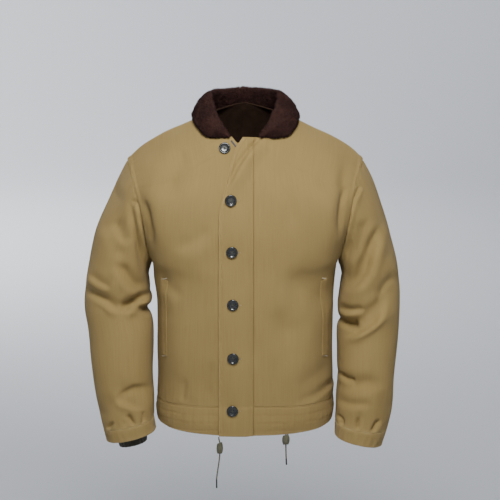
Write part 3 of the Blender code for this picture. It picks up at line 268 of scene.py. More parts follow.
LEFT_FRONT_CREASES = (
    (0, 7, 6, 4.5, 0, 206, -120, 198.5, -150, 194, -185, 189, -235),
    (0, 34, 22, 4.8, 2, 85, -270, 115, -315, 150.9, -347, 175, -392),
    (0, 22, 16, 2.8, 1.2, 50, -360, 80, -420, 95, -500),
    (0, 14, 7, 3, 1.4, 95, -578, 128, -566, 172.8, -548, 183, -535),
    (0, 14, 10, 2, 1, 70, -100, 90, -150, 95, -210),
)
BACK_CREASES = (
    (0, 10, 7, 4, 1, -206, -130, -196, -180, -188, -250),
    (0, 10, 7, 4, 1, 206, -130, 197, -180, 189, -250),
    (0, 26, 18, 3.5, 1.5, -150, -230, -90, -270, -20, -285),
    (0, 26, 18, 3.5, 1.5, 155, -240, 100, -290, 30, -310),
    (0, 14, 10, 2.8, 1.2, -70, -480, -80, -530, -76, -570),
    (0, 14, 10, 2.8, 1.2, 50, -470, 62, -530, 60, -572),
    (0, 18, 12, 2.8, 1.2, 140, -400, 125, -450, 128, -510),
)

# Pocket welts: height range, inner and outer edge in the front view
WELT_TOP_Z = -0.3185
WELT_BOTTOM_Z = -0.4770
WELT_INNER_X = 0.1560
WELT_OUTER_X = 0.1700
WELT_THICK = 0.0022
WELT_CLEAR = 0.0007

# Place of each button in the front view; the top one is sewn to the right front and left undone
BUTTONS = {
    "button_1": (-0.0402, -0.0450),
    "button_2": (-0.0283, -0.1440),
    "button_3": (-0.0258, -0.2463),
    "button_4": (-0.0240, -0.3545),
    "button_5": (-0.0236, -0.4655),
    "button_6": (-0.0250, -0.5750),
}

# Knit cuffs
KNIT_RIBS = 20
KNIT_WALL = 0.002
KNIT_RIB = 0.0009
KNIT_CLEAR = 0.0014

# Buttons, their outline from the foot to the dished middle as shares of radius and rim height
BUTTON_RADIUS = 0.0117
BUTTON_RIM = 0.0042
BUTTON_STEPS = 40
BUTTON_PROFILE = (
    (0.00, 0.00), (0.42, 0.00), (0.47, 0.10), (0.60, 0.22), (0.86, 0.27), (0.96, 0.42),
    (1.00, 0.62), (0.98, 0.82), (0.91, 0.96), (0.84, 1.00), (0.76, 0.95), (0.68, 0.76),
    (0.60, 0.64), (0.45, 0.58), (0.20, 0.57), (0.00, 0.57),
)
BUTTON_HOLE = 0.0009
BUTTON_THREAD = 0.00028
BUTTON_HOLE_FROM_MIDDLE = 0.0021

# Zip end on the right front
ZIP_X = (-0.0270, -0.0180)
ZIP_Z = (-0.0310, -0.0420)
ZIP_WIDTH = 0.0035
ZIP_THICK = 0.0010
ZIP_TOOTH = 0.0004
# Across the tape, as seen from the front
ZIP_TILT = (0.77, 0.64)
LIE_ON = 0.0003

# Drawstring: where each free end leaves the hem, its knot and its tip
CORD_RADIUS = 0.0015
CORD_STEP = 0.0006
CORD_BRAID = 0.0032
KNOT_TURNS = 7
KNOT_PRESS = 1.12
KNOT_SLANT = 0.0011
DRAWSTRING = {
    "right": {
        "y": -0.1500,
        "exit": (-0.0535, -0.1495, -0.6320),
        "bend": (-0.0528, -0.1500, -0.6370),
        "knot_x": -0.0512,
        "knot_z": -0.6680,
        "knot_height": 0.0250,
        "knot_radius": 0.0070,
        "sway": (-0.0550, -0.1500, -0.6990),
        "tip_top": (-0.0580, -0.1500, -0.7220),
        "tip_end": (-0.0578, -0.1500, -0.7410),
        "length": 0.110,
        "nodes": ("drawstring_right_upper", "drawstring_right_lower"),
    },
    "left": {
        "y": -0.1356,
        "knot_x": 0.0835,
        "knot_z": -0.6534,
        "knot_height": 0.0225,
        "knot_radius": 0.0080,
        "sway": (0.0838, -0.1356, -0.6690),
        "tip_top": (0.0842, -0.1356, -0.6820),
        "tip_end": (0.0850, -0.1356, -0.6960),
        "length": 0.065,
        "nodes": ("drawstring_left_lower",),
    },
}

# Rough sizes of the pieces, for the close grid lines at their edges
BODY_LENGTH = 0.56
YOKE_LENGTH = 0.16
PANEL_WIDTH = 0.24
BAND_HEIGHT = 0.06
FLAP_WIDTH = 0.062
WELT_LENGTH = 0.16
WELT_WIDTH = 0.0155
SLEEVE_LENGTH = 0.57
CUFF_HEIGHT = 0.030
KNIT_LENGTH = 0.055
# Radius that stands for a sleeve's and a knit cuff's girth in the texture
SLEEVE_GIRTH = 0.072
KNIT_GIRTH = 0.030
# Above this level the neckline lies further out than the fly seam
FLY_TOP_V = 0.86

# Gathers beside seams: height, reach and pitch
ARM_GATHERS = (0.0006, 0.012, 0.017)
HEM_GATHERS = (0.0006, 0.016, 0.015)
BAND_GATHERS = (0.0006, 0.020, 0.013)
FLAP_GATHERS = (0.00035, 0.006, 0.012)
WELT_GATHERS = (0.0002, 0.010, 0.014)
CAP_GATHERS = (0.0008, 0.022, 0.021)
WRIST_GATHERS = (0.0008, 0.020, 0.023)
CUFF_GATHERS = (0.0005, 0.012, 0.019)
# How deep a crease may be beside the armhole: at the seam, and more for each metre from it
BODY_HOLD = (0.0002, 0.35)
SLEEVE_HOLD = (0.0004, 0.45)

# Fineness of the shells: grid lines between the close ones at an edge
BODY_ROWS = (96, 34)
BODY_COLUMNS = 62
FLAP_COLUMNS = 14
BAND_ROWS = 14
FLAP_ROWS_UP = 150
WELT_LINES = (3, 36)
CUFF_ROWS_DOWN = 8
KNIT_ROWS = 40
SLEEVE_ROWS = 180
SLEEVE_POINTS = 160
# Distances of the close grid lines from an edge, in metres
EDGE_LINES = (0.0, 0.0003, 0.0008, 0.0015, 0.0025, 0.0040, 0.0060, 0.0078, 0.0092)
# Radius of an edge at a seam, at a turned edge and at the flap's and the welts' edges
SEAM_ROUND = 0.0009
HEM_ROUND = 0.0018
FLAP_ROUND = 0.0014
# Inside a seam the cloth reaches a little further, so no light comes through
INNER_LIP = 0.0007
# The sleeve's wall beside the armhole, and the armhole's raised edge
SLEEVE_TOP_WALL = 0.0022
ARMHOLE_RIDGE = 0.0021
ARMHOLE_SINK = 0.0012
ARMHOLE_RIDGE_WIDTH = 0.0085

# Stitches: step, length, thickness, how far they pull in, and the rows' distances from an edge
STITCH_STEP = 0.0032
STITCH_LENGTH = 0.0024
STITCH_THICK = 0.0006
STITCH_SINK = 0.0009
ARM_ROWS = (0.0018, 0.0062)
FLAP_ROWS = (0.0028, 0.0086)
BAND_STITCHES = (0.0028, 0.0185, 0.0350, 0.0520, 0.0575)
CUFF_ROWS = (0.0022, 0.0215)
WELT_ROWS = (0.0020, 0.0135)
SEAM_ROW = 0.0022
FLY_SEAM_ROW = 0.0026
STITCH_LIFT = 0.00015
# Upright rows on the left band, by their distance from the fly seam
BAND_JOINS = (0.0620, 0.0775, 0.1230)

# Bar tacks and buttonholes: a buttonhole shows between these distances from its button's middle
TACK_INSET = 0.0015
TACK_TILT = 0.0030
TACK_WIDTH = 0.0022
BUTTONHOLE_RUN = (0.0100, 0.0170)
BUTTONHOLE_WIDTH = 0.0034

# Finishes: linear colours
# COTTON_DEEP is the dark end of the cloth's streaks, and also the painted shade in the hollows between its
# cords
COTTON_DEEP = (0.218, 0.146, 0.046)
COTTON_FACE = (0.326, 0.228, 0.084)
COTTON_WORN = (0.440, 0.325, 0.135)
NAP_BROWN = (0.030, 0.017, 0.011)
PILE_DARK = (0.008, 0.003, 0.0026)
PILE_LIGHT = (0.066, 0.026, 0.020)
KNIT_OLIVE = (0.040, 0.034, 0.018)
BUTTON_BLACK = (0.014, 0.015, 0.014)
CORD_OLIVE = (0.110, 0.105, 0.062)
THREAD_KHAKI = (0.36, 0.22, 0.075)
THREAD_CREAM = (0.66, 0.56, 0.38)
BUTTON_THREAD_TONES = ((0.05, 0.05, 0.04), (0.11, 0.11, 0.09))
ZIP_TONES = ((0.018, 0.015, 0.012), (0.05, 0.04, 0.03))
TIP_TONES = ((0.01, 0.01, 0.01), (0.03, 0.03, 0.028))

# Camera: the photo's frame
CAMERA_TARGET = (0.0103, 0.0, -0.276)
CAMERA_DISTANCE = 4.5
CAMERA_RISE_DEG = 13.0
LENS_MM = 157.0
SENSOR_MM = 36.0

# The collar's corners start this far up the neckline, and it hides the cloth this near to it
COLLAR_TIP_SHARE = 0.075
COLLAR_HIDES = 0.007
# Lumps of the pile's ground (how many to a metre, height) and how far it sinks for the tufts
COLLAR_LUMPS = ((95.0, 0.0014), (190.0, 0.0018))
COLLAR_SINK = 0.0008

# Pile of the collar: tufts per square metre, and their length, width and lean
PILE_DENSITY = 420000.0
PILE_LENGTH = 0.0050
PILE_WIDTH = 0.0014
PILE_LEAN = 0.75

# Studio: floor height, radius of its flat part, radius of the curve up to its wall
FLOOR_Z = -1.30
STUDIO_FLAT = 6.0
STUDIO_COVE = 2.5
STUDIO_HEIGHT = 7.0
AIR_COLOUR = (0.80, 0.85, 0.95)
PAPER_LOW = (0.60, 0.62, 0.66)
PAPER_HIGH = (0.68, 0.70, 0.74)
WORLD_STRENGTH = 0.10
# Each light: place, size, power in watts and the point it faces
LIGHTS = {
    "key": ((0.05, -1.36, 1.18), (0.6, 0.6), 49.0, (0.0, 0.0, -0.3)),
    "fill": ((0.3, -4.2, 0.6), (2.0, 2.0), 5.0, (0.0, 0.0, -0.3)),
    "behind": ((0.6, 3.4, 2.2), (2.4, 1.6), 24.0, (0.0, 0.0, -0.3)),
    "wall": ((-2.2, 3.9, 1.3), (1.2, 1.2), 190.0, (-1.0, 6.5, -0.2)),
    "floor": ((-1.9, 2.5, 3.2), (2.4, 2.0), 120.0, (-1.9, 5.5, -1.0)),
    "front_wall": ((0.0, -4.4, 1.6), (2.0, 1.2), 110.0, (0.0, -7.0, -0.2)),
    "front_floor": ((0.0, -3.8, 3.2), (2.4, 2.0), 50.0, (0.0, -7.0, -1.0)),
    "right_wall": ((-4.4, 0.9, 1.6), (1.2, 2.0), 100.0, (-7.0, 1.4, -0.3)),
    "left_wall": ((4.4, 0.9, 1.6), (1.2, 2.0), 90.0, (7.0, 1.4, -0.3)),
}

# What main fills: the finishes by their use, the pieces and the welts' grids by their node
finishes = {}
pieces = {}
welts = {}


# ---------------------------------------------------------------- sizes and forms of the cloth


def rows_of(table):
    """The rows of numbers of a level table, without its column names."""
    return np.array([row for key, row in table.items() if key != "columns"], float)


def spline(stations, values, at):
    """Values read from a smooth curve through the stations, at one place or at many."""
    x = np.asarray(stations, float)
    y = np.asarray(values, float)
    at = np.asarray(at, float)
    slope = np.gradient(y, x, axis=0)
    k = np.clip(np.searchsorted(x, at) - 1, 0, len(x) - 2)
    h = x[k + 1] - x[k]
    s = (at - x[k]) / h
    if y.ndim > 1:
        h, s = h[..., None], s[..., None]
    return (
        y[k] * (1 + 2 * s) * (1 - s) ** 2
        + y[k + 1] * s * s * (3 - 2 * s)
        + h * slope[k] * s * (1 - s) ** 2
        + h * slope[k + 1] * s * s * (s - 1)
    )


def smoothstep(low, high, value):
    s = np.clip((np.asarray(value, float) - low) / (high - low), 0.0, 1.0)
    return s * s * (3 - 2 * s)


def unit(vectors):
    length = np.linalg.norm(vectors, axis=-1, keepdims=True)
    return vectors / np.maximum(length, 1e-12)


def mirrored(points, side):
    return points * np.array([side, 1.0, 1.0])


def level_at(panel, v):
    """The columns of a panel's level table at heights v."""
    table = FRONT_LEVELS if panel == "front" else BACK_LEVELS
    rows = rows_of(table)
    found = spline(rows[:, 0], rows, v)
    return {name: found[..., k] for k, name in enumerate(table["columns"])}


def neckline(angle):
    """The neckline at angles from the centre front (0) over the shoulder (90) to the back (180)."""
    turn = np.radians(angle)
    front = np.asarray(angle) <= 90
    y = -np.where(front, -NECK_FRONT_Y, NECK_BACK_Y) * np.cos(turn)
    front_z = NECK_FRONT_Z + (NECK_SIDE_Z - NECK_FRONT_Z) * (1 - np.cos(turn))
    back_z = NECK_SIDE_Z + (NECK_BACK_Z - NECK_SIDE_Z) * (1 - np.sin(turn))
    return np.stack([NECK_HALF_WIDTH * np.sin(turn), y, np.where(front, front_z, back_z)], axis=-1)


def fold_height(folds, x, z):
    """How far soft folds lift or sink the cloth at places in the front view."""
    total = np.zeros(np.shape(x))
    for fold in folds:
        x0, z0, x1, z1, width, depth = (MM * value for value in fold[:6])
        run_x, run_z = x1 - x0, z1 - z0
        length = math.hypot(run_x, run_z)
        along = ((x - x0) * run_x + (z - z0) * run_z) / length
        across = ((x - x0) * run_z - (z - z0) * run_x) / length
        end = smoothstep(-0.35 * length, 0.25 * length, along)
        end = end * (1 - smoothstep(0.75 * length, 1.35 * length, along))
        total += depth * end * np.exp(-((across / width) ** 2))
    return total


def crease_height(creases, x, z, normal_y=None):
    """Sharp creases: a trough along each line, with a low bank below it; both fade at its ends."""
    total = np.zeros(np.shape(x))
    steps = np.linspace(0.0, 1.0, 60)
    for face, *sizes in creases:
        above, below, depth, bank = (MM * value for value in sizes[:4])
        points = MM * np.reshape(sizes[4:], (-1, 2))
        line = spline(np.linspace(0.0, 1.0, len(points)), points, steps)
        tangent = unit(np.gradient(line, axis=0))
        down = np.stack([tangent[:, 1], -tangent[:, 0]], axis=-1)
        down = np.where(down[:1, 1:] > 0, -down, down)
        near = (np.abs(x - line[:, 0].mean()) < 0.12) & (np.abs(z - line[:, 1].mean()) < 0.12)
        offset = np.stack([x[near], z[near]], axis=-1)[:, None, :] - line
        nearest = np.argmin(np.sum(offset**2, axis=-1), axis=1)
        offset = np.take_along_axis(offset, nearest[:, None, None], axis=1)[:, 0]
        across = np.sum(offset * down[nearest], axis=-1)
        along = np.sum(offset * tangent[nearest], axis=-1)
        length = float(np.sum(np.linalg.norm(np.diff(line, axis=0), axis=-1)))
        share = steps[nearest] + along / length
        fade = smoothstep(0.0, 0.30, share) * (1 - smoothstep(0.68, 1.0, share))
        trough = np.exp(-((across / np.where(across < 0, above, below)) ** 2))
        rim = np.exp(-(((across - 2.3 * below) / (1.5 * below)) ** 2))
        height = CREASE_GAIN * fade * (bank * rim - depth * trough)
        if face and normal_y is not None:
            height = height * smoothstep(-0.1, 0.4, normal_y[near] * face)
        total[near] += height
    return total


def roll_height(x, z):
    """The cloth stands forward beyond the roll crease of the unbuttoned fly top, and settles again."""
    crease = spline((-0.150, -0.120, -0.090, -0.060, -0.020), (-0.042, -0.037, -0.022, -0.002, 0.032), z)
    beyond = x - crease
    lift = smoothstep(0, ROLL_STEP, beyond) * (1 - smoothstep(ROLL_STEP, ROLL_REACH, beyond))
    height = ROLL_HEIGHT * lift * smoothstep(-0.138, -0.090, z) * (1 - 0.6 * smoothstep(-0.06, -0.02, z))
    sunk = -ROLL_CREASE * np.exp(-((beyond / 0.0055) ** 2)) * smoothstep(-0.145, -0.110, z)
    return np.where(z < -0.14, 0.0, height) + sunk


def plain_body(panel, u, v):
    """Points of one half of a panel without folds: u from the centre to the side, v upwards."""
    u, v = np.broadcast_arrays(np.clip(np.asarray(u, float), 0.0, 1.0), np.asarray(v, float))
    level = level_at(panel, v)
    start = np.stack([np.zeros_like(u), level["in_y"], level["in_z"]], axis=-1)
    share = 90.0 * np.clip(v - NECK_V, 0.0, 1.0) / (1 - NECK_V)
    on_neck = neckline(share if panel == "front" else 180.0 - share)
    start = np.where((v > NECK_V)[..., None], on_neck, start)
    quarter = 0.5 * math.pi * u
    bend = level["round"]
    across = (1 - bend) * u + bend * np.sin(quarter) ** ROUND_POWER
    back_in = (1 - bend) * u + bend * (1 - np.maximum(0.0, np.cos(quarter)) ** ROUND_POWER)
    fallen = 1 - (1 - u) ** level["fall"]
    drop = (1 - level["droop"]) * fallen + level["droop"] * u**6
    out_y = np.where(v > UNDERARM_V, level["out_y"], 0.0)
    end = np.stack([level["out_x"], out_y, level["out_z"]], axis=-1)
    points = start + (end - start) * np.stack([across, back_in, drop], axis=-1)
    forward = -1.0 if panel == "front" else 1.0
    points[..., 1] += forward * level["bulge"] * np.sin(math.pi * u)
    return points


def one_normal(panel, u, v):
    step = 0.004
    u, v = np.broadcast_arrays(np.asarray(u, float), np.asarray(v, float))
    u0, u1 = np.maximum(0.0, u - step), np.minimum(1.0, u + step)
    v0, v1 = np.maximum(0.0, v - step), np.minimum(0.999, v + step)
    astride = (v0 < NECK_V) & (v1 > NECK_V)
    v1 = np.where(astride & (v <= NECK_V), NECK_V, v1)
    v0 = np.where(astride & (v > NECK_V), NECK_V, v0)
    at_neck = (u < step) & (v > NECK_V)
    u0, u1 = np.where(at_neck, step, u0), np.where(at_neck, 3 * step, u1)
    middle = 0.5 * (u0 + u1)
    across = plain_body(panel, u1, v) - plain_body(panel, u0, v)
    rising = plain_body(panel, middle, v1) - plain_body(panel, middle, v0)
    normal = unit(np.cross(across, rising))
    if panel == "back":
        normal = -normal
    flat = (u < 1e-6) & (v <= NECK_V)
    normal[..., 0] = np.where(flat, 0.0, normal[..., 0])
    return unit(normal)


def body_normals(panel, u, v):
    """Outward normals of the plain body, shared by both pieces where they meet at a seam."""
    u, v = np.broadcast_arrays(np.asarray(u, float), np.asarray(v, float))
    normal = one_normal(panel, u, v)
    at_top = np.full(v.shape, 0.999)
    shoulder = unit(one_normal("front", u, at_top) + one_normal("back", u, at_top))
    normal = np.where((v > 0.999)[..., None], shoulder, normal)
    side_seam = (v < UNDERARM_V + 1e-6) & (u > 0.999)
    return np.where(side_seam[..., None], np.array([1.0, 0.0, 0.0]), normal)


def body_points(panel, side, u, v, rise=0.0, folds=(), rolled=False):
    """Points of the cloth: side is -1 for the wearer's right, rise is measured outwards."""
    normal = mirrored(body_normals(panel, u, v), side)
    plain = mirrored(plain_body(panel, u, v), side)
    height = rise + fold_height(folds, plain[..., 0], plain[..., 2])
    if rolled:
        height = height + roll_height(plain[..., 0], plain[..., 2])
    return plain + normal * height[..., None]


def u_at(panel, x, v):
    """The u at which one level reaches x, for one x or many."""
    steps = np.linspace(0.0, 1.0, 161)
    return np.interp(x, plain_body(panel, steps, v)[:, 0], steps)


def neck_v_at(x):
    """The v at which the neckline is x away from the middle plane."""
    turn = np.degrees(np.arcsin(np.minimum(1.0, np.abs(x) / NECK_HALF_WIDTH)))
    return NECK_V + (1 - NECK_V) * turn / 90.0


def v_at_height(panel, x, z):
    """The v at which the panel reaches height z at a distance x from the middle plane."""
    steps = np.linspace(0.0, float(neck_v_at(x)), 61)
    reached = [float(plain_body(panel, u_at(panel, x, v), v)[2]) for v in steps]
    return float(np.interp(z, reached, steps))


# ---------------------------------------------------------------- grids of cloth and their shells


def close_lines(count, length):
    """Shares from 0 to 1 with close lines near both ends, for a strip of that length in metres."""
    near = np.array(EDGE_LINES) / length
    near = near[near < 0.22]
    middle = np.linspace(near[-1], 1 - near[-1], count + 2)[1:-1]
    return np.concatenate([near, middle, 1 - near[::-1]])


def run_lengths(points, axis):
    """Distance run along a grid's rows (axis 1) or columns (axis 0), from its first line."""
    steps = np.linalg.norm(np.diff(points, axis=axis), axis=-1)
    first = np.zeros_like(np.take(steps, [0], axis=axis))
    return np.cumsum(np.concatenate([first, steps], axis=axis), axis=axis)


def edge_runs(points):
    """Distances of a grid's points from its left, right, bottom and top edges."""
    left, bottom = run_lengths(points, 1), run_lengths(points, 0)
    return {"left": left, "right": left[:, -1:] - left, "bottom": bottom, "top": bottom[-1:] - bottom}


def rounding(distance, radius):
    """How far the face of a wall draws in close to a turned edge."""
    left = np.clip(1 - distance / radius, 0.0, 1.0)
    return radius * (1 - np.sqrt(np.maximum(0.0, 1 - left**2)))


def turned_in(runs, **radii):
    """The same for a whole grid, from its edges' radii by their names."""
    return np.maximum.reduce([rounding(runs[edge], radius) for edge, radius in radii.items()])


def ripple(points):
    """Slow unevenness of worn cloth, the same for every piece at one place."""
    x, y, z = points[..., 0], points[..., 1], points[..., 2]
    slow = np.sin(38 * x + 21 * z + 6 * y + 1.3) * np.sin(19 * z - 12 * x + 15 * y + 0.4)
    quick = np.sin(81 * x - 33 * z + 24 * y + 2.1) * np.sin(47 * z + 35 * x + 0.9)
    return 0.0011 * slow + 0.00035 * quick


def pucker(run, distance, height, reach, pitch):
    """Small gathers beside a seam: uneven waves along it that die away from it."""
    wave = np.sin(2 * math.pi * run / pitch + 1.7 * np.sin(2 * math.pi * run / (3.7 * pitch)))
    return height * wave * np.exp(-distance / reach)


def stitched_in(distance, places):
    """How far rows of stitches at these distances from an edge pull the cloth in."""
    return -STITCH_SINK * sum(np.exp(-(((distance - place) / 0.0011) ** 2)) for place in places)


def grid_faces(rows, wide, joined_rows=0, ring=False):
    """Corner places of a wall's faces, with 0, 1 or 2 for its outer face, inner face or rims."""
    place = np.arange(rows * wide).reshape(rows, wide)
    other = rows * wide
    face = np.stack([place[:-1, :-1], place[:-1, 1:], place[1:, 1:], place[1:, :-1]], axis=-1).reshape(-1, 4)

    def rim(near, far):
        return np.stack([near, far, far + other, near + other], axis=-1)

    rims = [rim(place[0, 1:], place[0, :-1]), rim(place[-1, :-1], place[-1, 1:])]
    if not ring:
        rims.append(rim(place[:-1, 0], place[1:, 0])[joined_rows:])
        rims.append(rim(place[1:, -1], place[:-1, -1]))
    rims = np.concatenate(rims)
    faces = np.concatenate([face, face[:, ::-1] + other, rims])
    kinds = np.concatenate([np.zeros(len(face), int), np.ones(len(face), int), np.full(len(rims), 2)])
    return faces, kinds


def shell(name, parts, finishes, ring=False, joined_rows=0):
    """A closed thin wall. Each part is a dictionary with outer, inner, uv and worn grids."""
    verts, corners, uvs, worns, slots = [], [], [], [], []
    for part in parts:
        outer, inner = part["outer"], part["inner"]
        rows, columns = outer.shape[:2]
        index = np.arange(rows * columns).reshape(rows, columns)
        if ring:
            index = np.concatenate([index, index[:, :1]], axis=1)
        faces, kinds = grid_faces(rows, index.shape[1], joined_rows, ring)
        points = np.concatenate([outer.reshape(-1, 3), inner.reshape(-1, 3)])
        lookup = np.concatenate([index.ravel(), index.ravel() + rows * columns])
        quads = lookup[faces]
        flat_uv = part["uv"].reshape(-1, 2)
        uv = np.concatenate([flat_uv, flat_uv])[faces]
        a, b, c, d = (points[quads[:, k]] for k in range(4))
        volume = np.einsum("ij,ij->i", a, np.cross(b, c) + np.cross(c, d)).sum()
        if volume < 0:
            quads, uv = quads[:, ::-1], uv[:, ::-1]
        corners.append(quads + sum(len(found) for found in verts))
        verts.append(points)
        uvs.append(uv)
        covered = np.zeros(len(points), bool)
        if "covered" in part:
            covered[:] = np.concatenate([part["covered"].ravel()] * 2)
        slots.append(np.where((kinds == 1) | covered[quads].all(axis=1), 1, 0))
        worns.append(np.concatenate([part["worn"].ravel()] * 2))
    data = bpy.data.meshes.new(name)
    data.from_pydata(np.concatenate(verts).tolist(), [], np.concatenate(corners).tolist())
    data.uv_layers.new(name="cloth").data.foreach_set("uv", np.concatenate(uvs).ravel())
    data.polygons.foreach_set("material_index", np.concatenate(slots))
    data.attributes.new("worn", "FLOAT", "POINT").data.foreach_set("value", np.concatenate(worns))
    for finish in finishes:
        data.materials.append(finish)
    if len(parts) > 1:
        mesh = bmesh.new()
        mesh.from_mesh(data)
        bmesh.ops.remove_doubles(mesh, verts=mesh.verts[:], dist=1e-6)
        mesh.to_mesh(data)
        mesh.free()
    return placed(name, data)


def linked_object(name, data):
    made = bpy.data.objects.new(name, data)
    bpy.context.scene.collection.objects.link(made)
    return made


def sew_up(name, *grids, **how):
    """The named piece of cloth from its grids: cotton outside, nap inside."""
    pieces[name] = shell(name + "_cloth", grids, (finishes["cotton"], finishes["nap"]), **how)


def ring_uv(turns, girth, downs):
    """Texture places of a tube's grid, round it and along it."""
    wide = np.concatenate([turns, [2 * math.pi]])
    return np.stack([np.tile(wide * girth, (len(downs), 1)), np.tile(downs[:, None], len(wide))], -1)


def placed(name, data, smooth_under=60):
    """The mesh as a smooth object, linked to the scene."""
    data.update()
    data.validate()
    data.shade_smooth()
    data.set_sharp_from_angle(angle=math.radians(smooth_under))
    return linked_object(name, data)


def wear(*distances):
    """1 at an edge or seam, 0 away from it."""
    nearest = np.minimum.reduce(distances)
    return np.exp(-nearest / 0.0035)


# ---------------------------------------------------------------- the body's pieces


def body_grid(panel, side, first_x, folds, creases, rolled=False):
    """One half panel as outer and inner grids, with its distances from its four edges."""
    lower = close_lines(BODY_ROWS[0], BODY_LENGTH)
    upper = close_lines(BODY_ROWS[1], YOKE_LENGTH)
    levels = np.concatenate([NECK_V * lower[lower < 0.999], NECK_V + (1 - NECK_V) * upper[upper > 0.004]])
    shares = close_lines(BODY_COLUMNS, PANEL_WIDTH)
    first = np.array([first_x(level) for level in levels])
    start = [float(u_at(panel, x, level)) if x > 0 else 0.0 for x, level in zip(first, levels, strict=True)]
    start = np.array(start)[:, None]
    u = start + (1 - start) * shares
    v = np.repeat(levels[:, None], len(shares), axis=1)
    plain = mirrored(plain_body(panel, u, v), side)
    runs = edge_runs(plain)
    left, right, bottom, top = runs.values()
    at_fly = panel == "front" and side > 0
    # Creases fade at the hem and the fly, and don't pull the armhole seam open
    sharp = crease_height(creases, plain[..., 0], plain[..., 2]) * smoothstep(0.0, 0.022, bottom)
    if panel == "front":
        clear_from = 0.0 if side > 0 else -FLY_EDGE_X
        sharp *= smoothstep(clear_from, clear_from + 0.020, left)
    held = np.maximum(sharp, -BODY_HOLD[0] - BODY_HOLD[1] * right)
    rise = ripple(plain) + np.where(v > UNDERARM_V - 0.02, held, sharp)
    armhole = smoothstep(UNDERARM_V - 0.004, UNDERARM_V + 0.004, v)
    ridge_end = smoothstep(ARMHOLE_RIDGE_WIDTH - 0.0008, ARMHOLE_RIDGE_WIDTH + 0.0010, right)
    # The turned edge is thicker outwards, and reaches in far enough to close the armhole seam
    ridge = (ARMHOLE_RIDGE * (1 - ridge_end) + stitched_in(right, ARM_ROWS)) * armhole
    lip = INNER_LIP * np.exp(-((right / 0.002) ** 2)) * armhole
    rise += pucker(bottom, right, *ARM_GATHERS) * armhole * smoothstep(0.004, 0.012, right)
    rise += pucker(left, bottom, *HEM_GATHERS) * smoothstep(0.001, 0.006, bottom)
    radii = dict.fromkeys(("right", "bottom", "top"), SEAM_ROUND)
    if at_fly:
        radii["left"] = SEAM_ROUND
    turn = turned_in(runs, **radii)
    outer = body_points(panel, side, u, v, rise + ridge - turn, folds, rolled)
    inner = body_points(panel, side, u, v, rise - lip - WALL + 0.5 * turn, folds, rolled)
    # Below the collar the cloth has its inner finish, so no light edge shows beside the pile
    neck = plain[levels > NECK_V + (COLLAR_TIP_SHARE if panel == "front" else -0.001), 0]
    reach = COLLAR_HIDES if panel == "front" else 2 * COLLAR_HIDES
    covered = np.array([np.linalg.norm(row[:, None] - neck, axis=-1).min(axis=1) < reach for row in plain])
    at_seam = (u > 0.999) & (v <= UNDERARM_V + 1e-6) | (v > 0.999)
    shift = (-1.0 if panel == "front" else 1.0) * SEAM / 2 * at_seam
    outer[..., 1] += shift
    inner[..., 1] += shift
    if at_fly:
        inner[levels < FLY_TOP_V, 0, 0] -= INNER_LIP
    across = left + np.where(levels < FLY_TOP_V, first, 0.0)[:, None]
    start_x = plain_body(panel, u[:, :1], v[:, :1])[..., 0]
    across = across + np.where(v > NECK_V, start_x - across[:, :1], 0.0)
    uv = np.stack([side * across, bottom], axis=-1)
    grid = {"outer": outer, "inner": inner, "uv": uv, "worn": wear(right, bottom + 0.004, top + 0.002)}
    return {**grid, "covered": covered, "levels": levels, **runs}


def right_front_start(v):
    """The right front reaches the middle plane, and its top corner is cut back below the neck."""
    if v > CORNER_CUT[-1][0]:
        return 0.0
    heights, starts = zip(*CORNER_CUT, strict=True)
    return float(np.interp(v, heights, starts))


def left_front_start(v):
    """The left front starts at the fly seam, until the neckline itself lies further out."""
    return FLY_SEAM_X + SEAM if v < FLY_TOP_V else 0.0


def back_start(v):
    return 0.0


def make_body():
    """Both fronts and the back; returns their grids for the stitches."""
    grids = {
        "front_right": body_grid("front", -1, right_front_start, RIGHT_FRONT_FOLDS, RIGHT_FRONT_CREASES),
        "front_left": body_grid("front", 1, left_front_start, LEFT_FRONT_FOLDS, LEFT_FRONT_CREASES, True),
    }
    for name, grid in grids.items():
        sew_up(name, grid)
    for word, side in (("right", -1), ("left", 1)):
        grids[f"back_{word}"] = body_grid("back", side, back_start, BACK_FOLDS, BACK_CREASES)
    joined = int(np.sum(grids["back_right"]["levels"] < NECK_V + 1e-6)) - 1
    sew_up("back", grids["back_right"], grids["back_left"], joined_rows=joined)
    return grids


def band_points(panel, side, u, drop, rise, folds):
    """Points of the hem band: drop goes from 0 at its seam to 1 at the lower edge."""
    top = body_points(panel, side, u, 0.0, rise, folds)
    middle_z = HEM_FRONT_Z if panel == "front" else HEM_BACK_Z
    bottom_z = middle_z + (HEM_SIDE_Z - middle_z) * u**2
    belly = HEM_BELLY * np.sin(math.pi * drop)
    points = top + mirrored(body_normals(panel, u, 0.0), side) * belly[..., None]
    points[..., 2] = (top[..., 2] - SEAM) + (bottom_z - top[..., 2] + SEAM) * drop
    return points


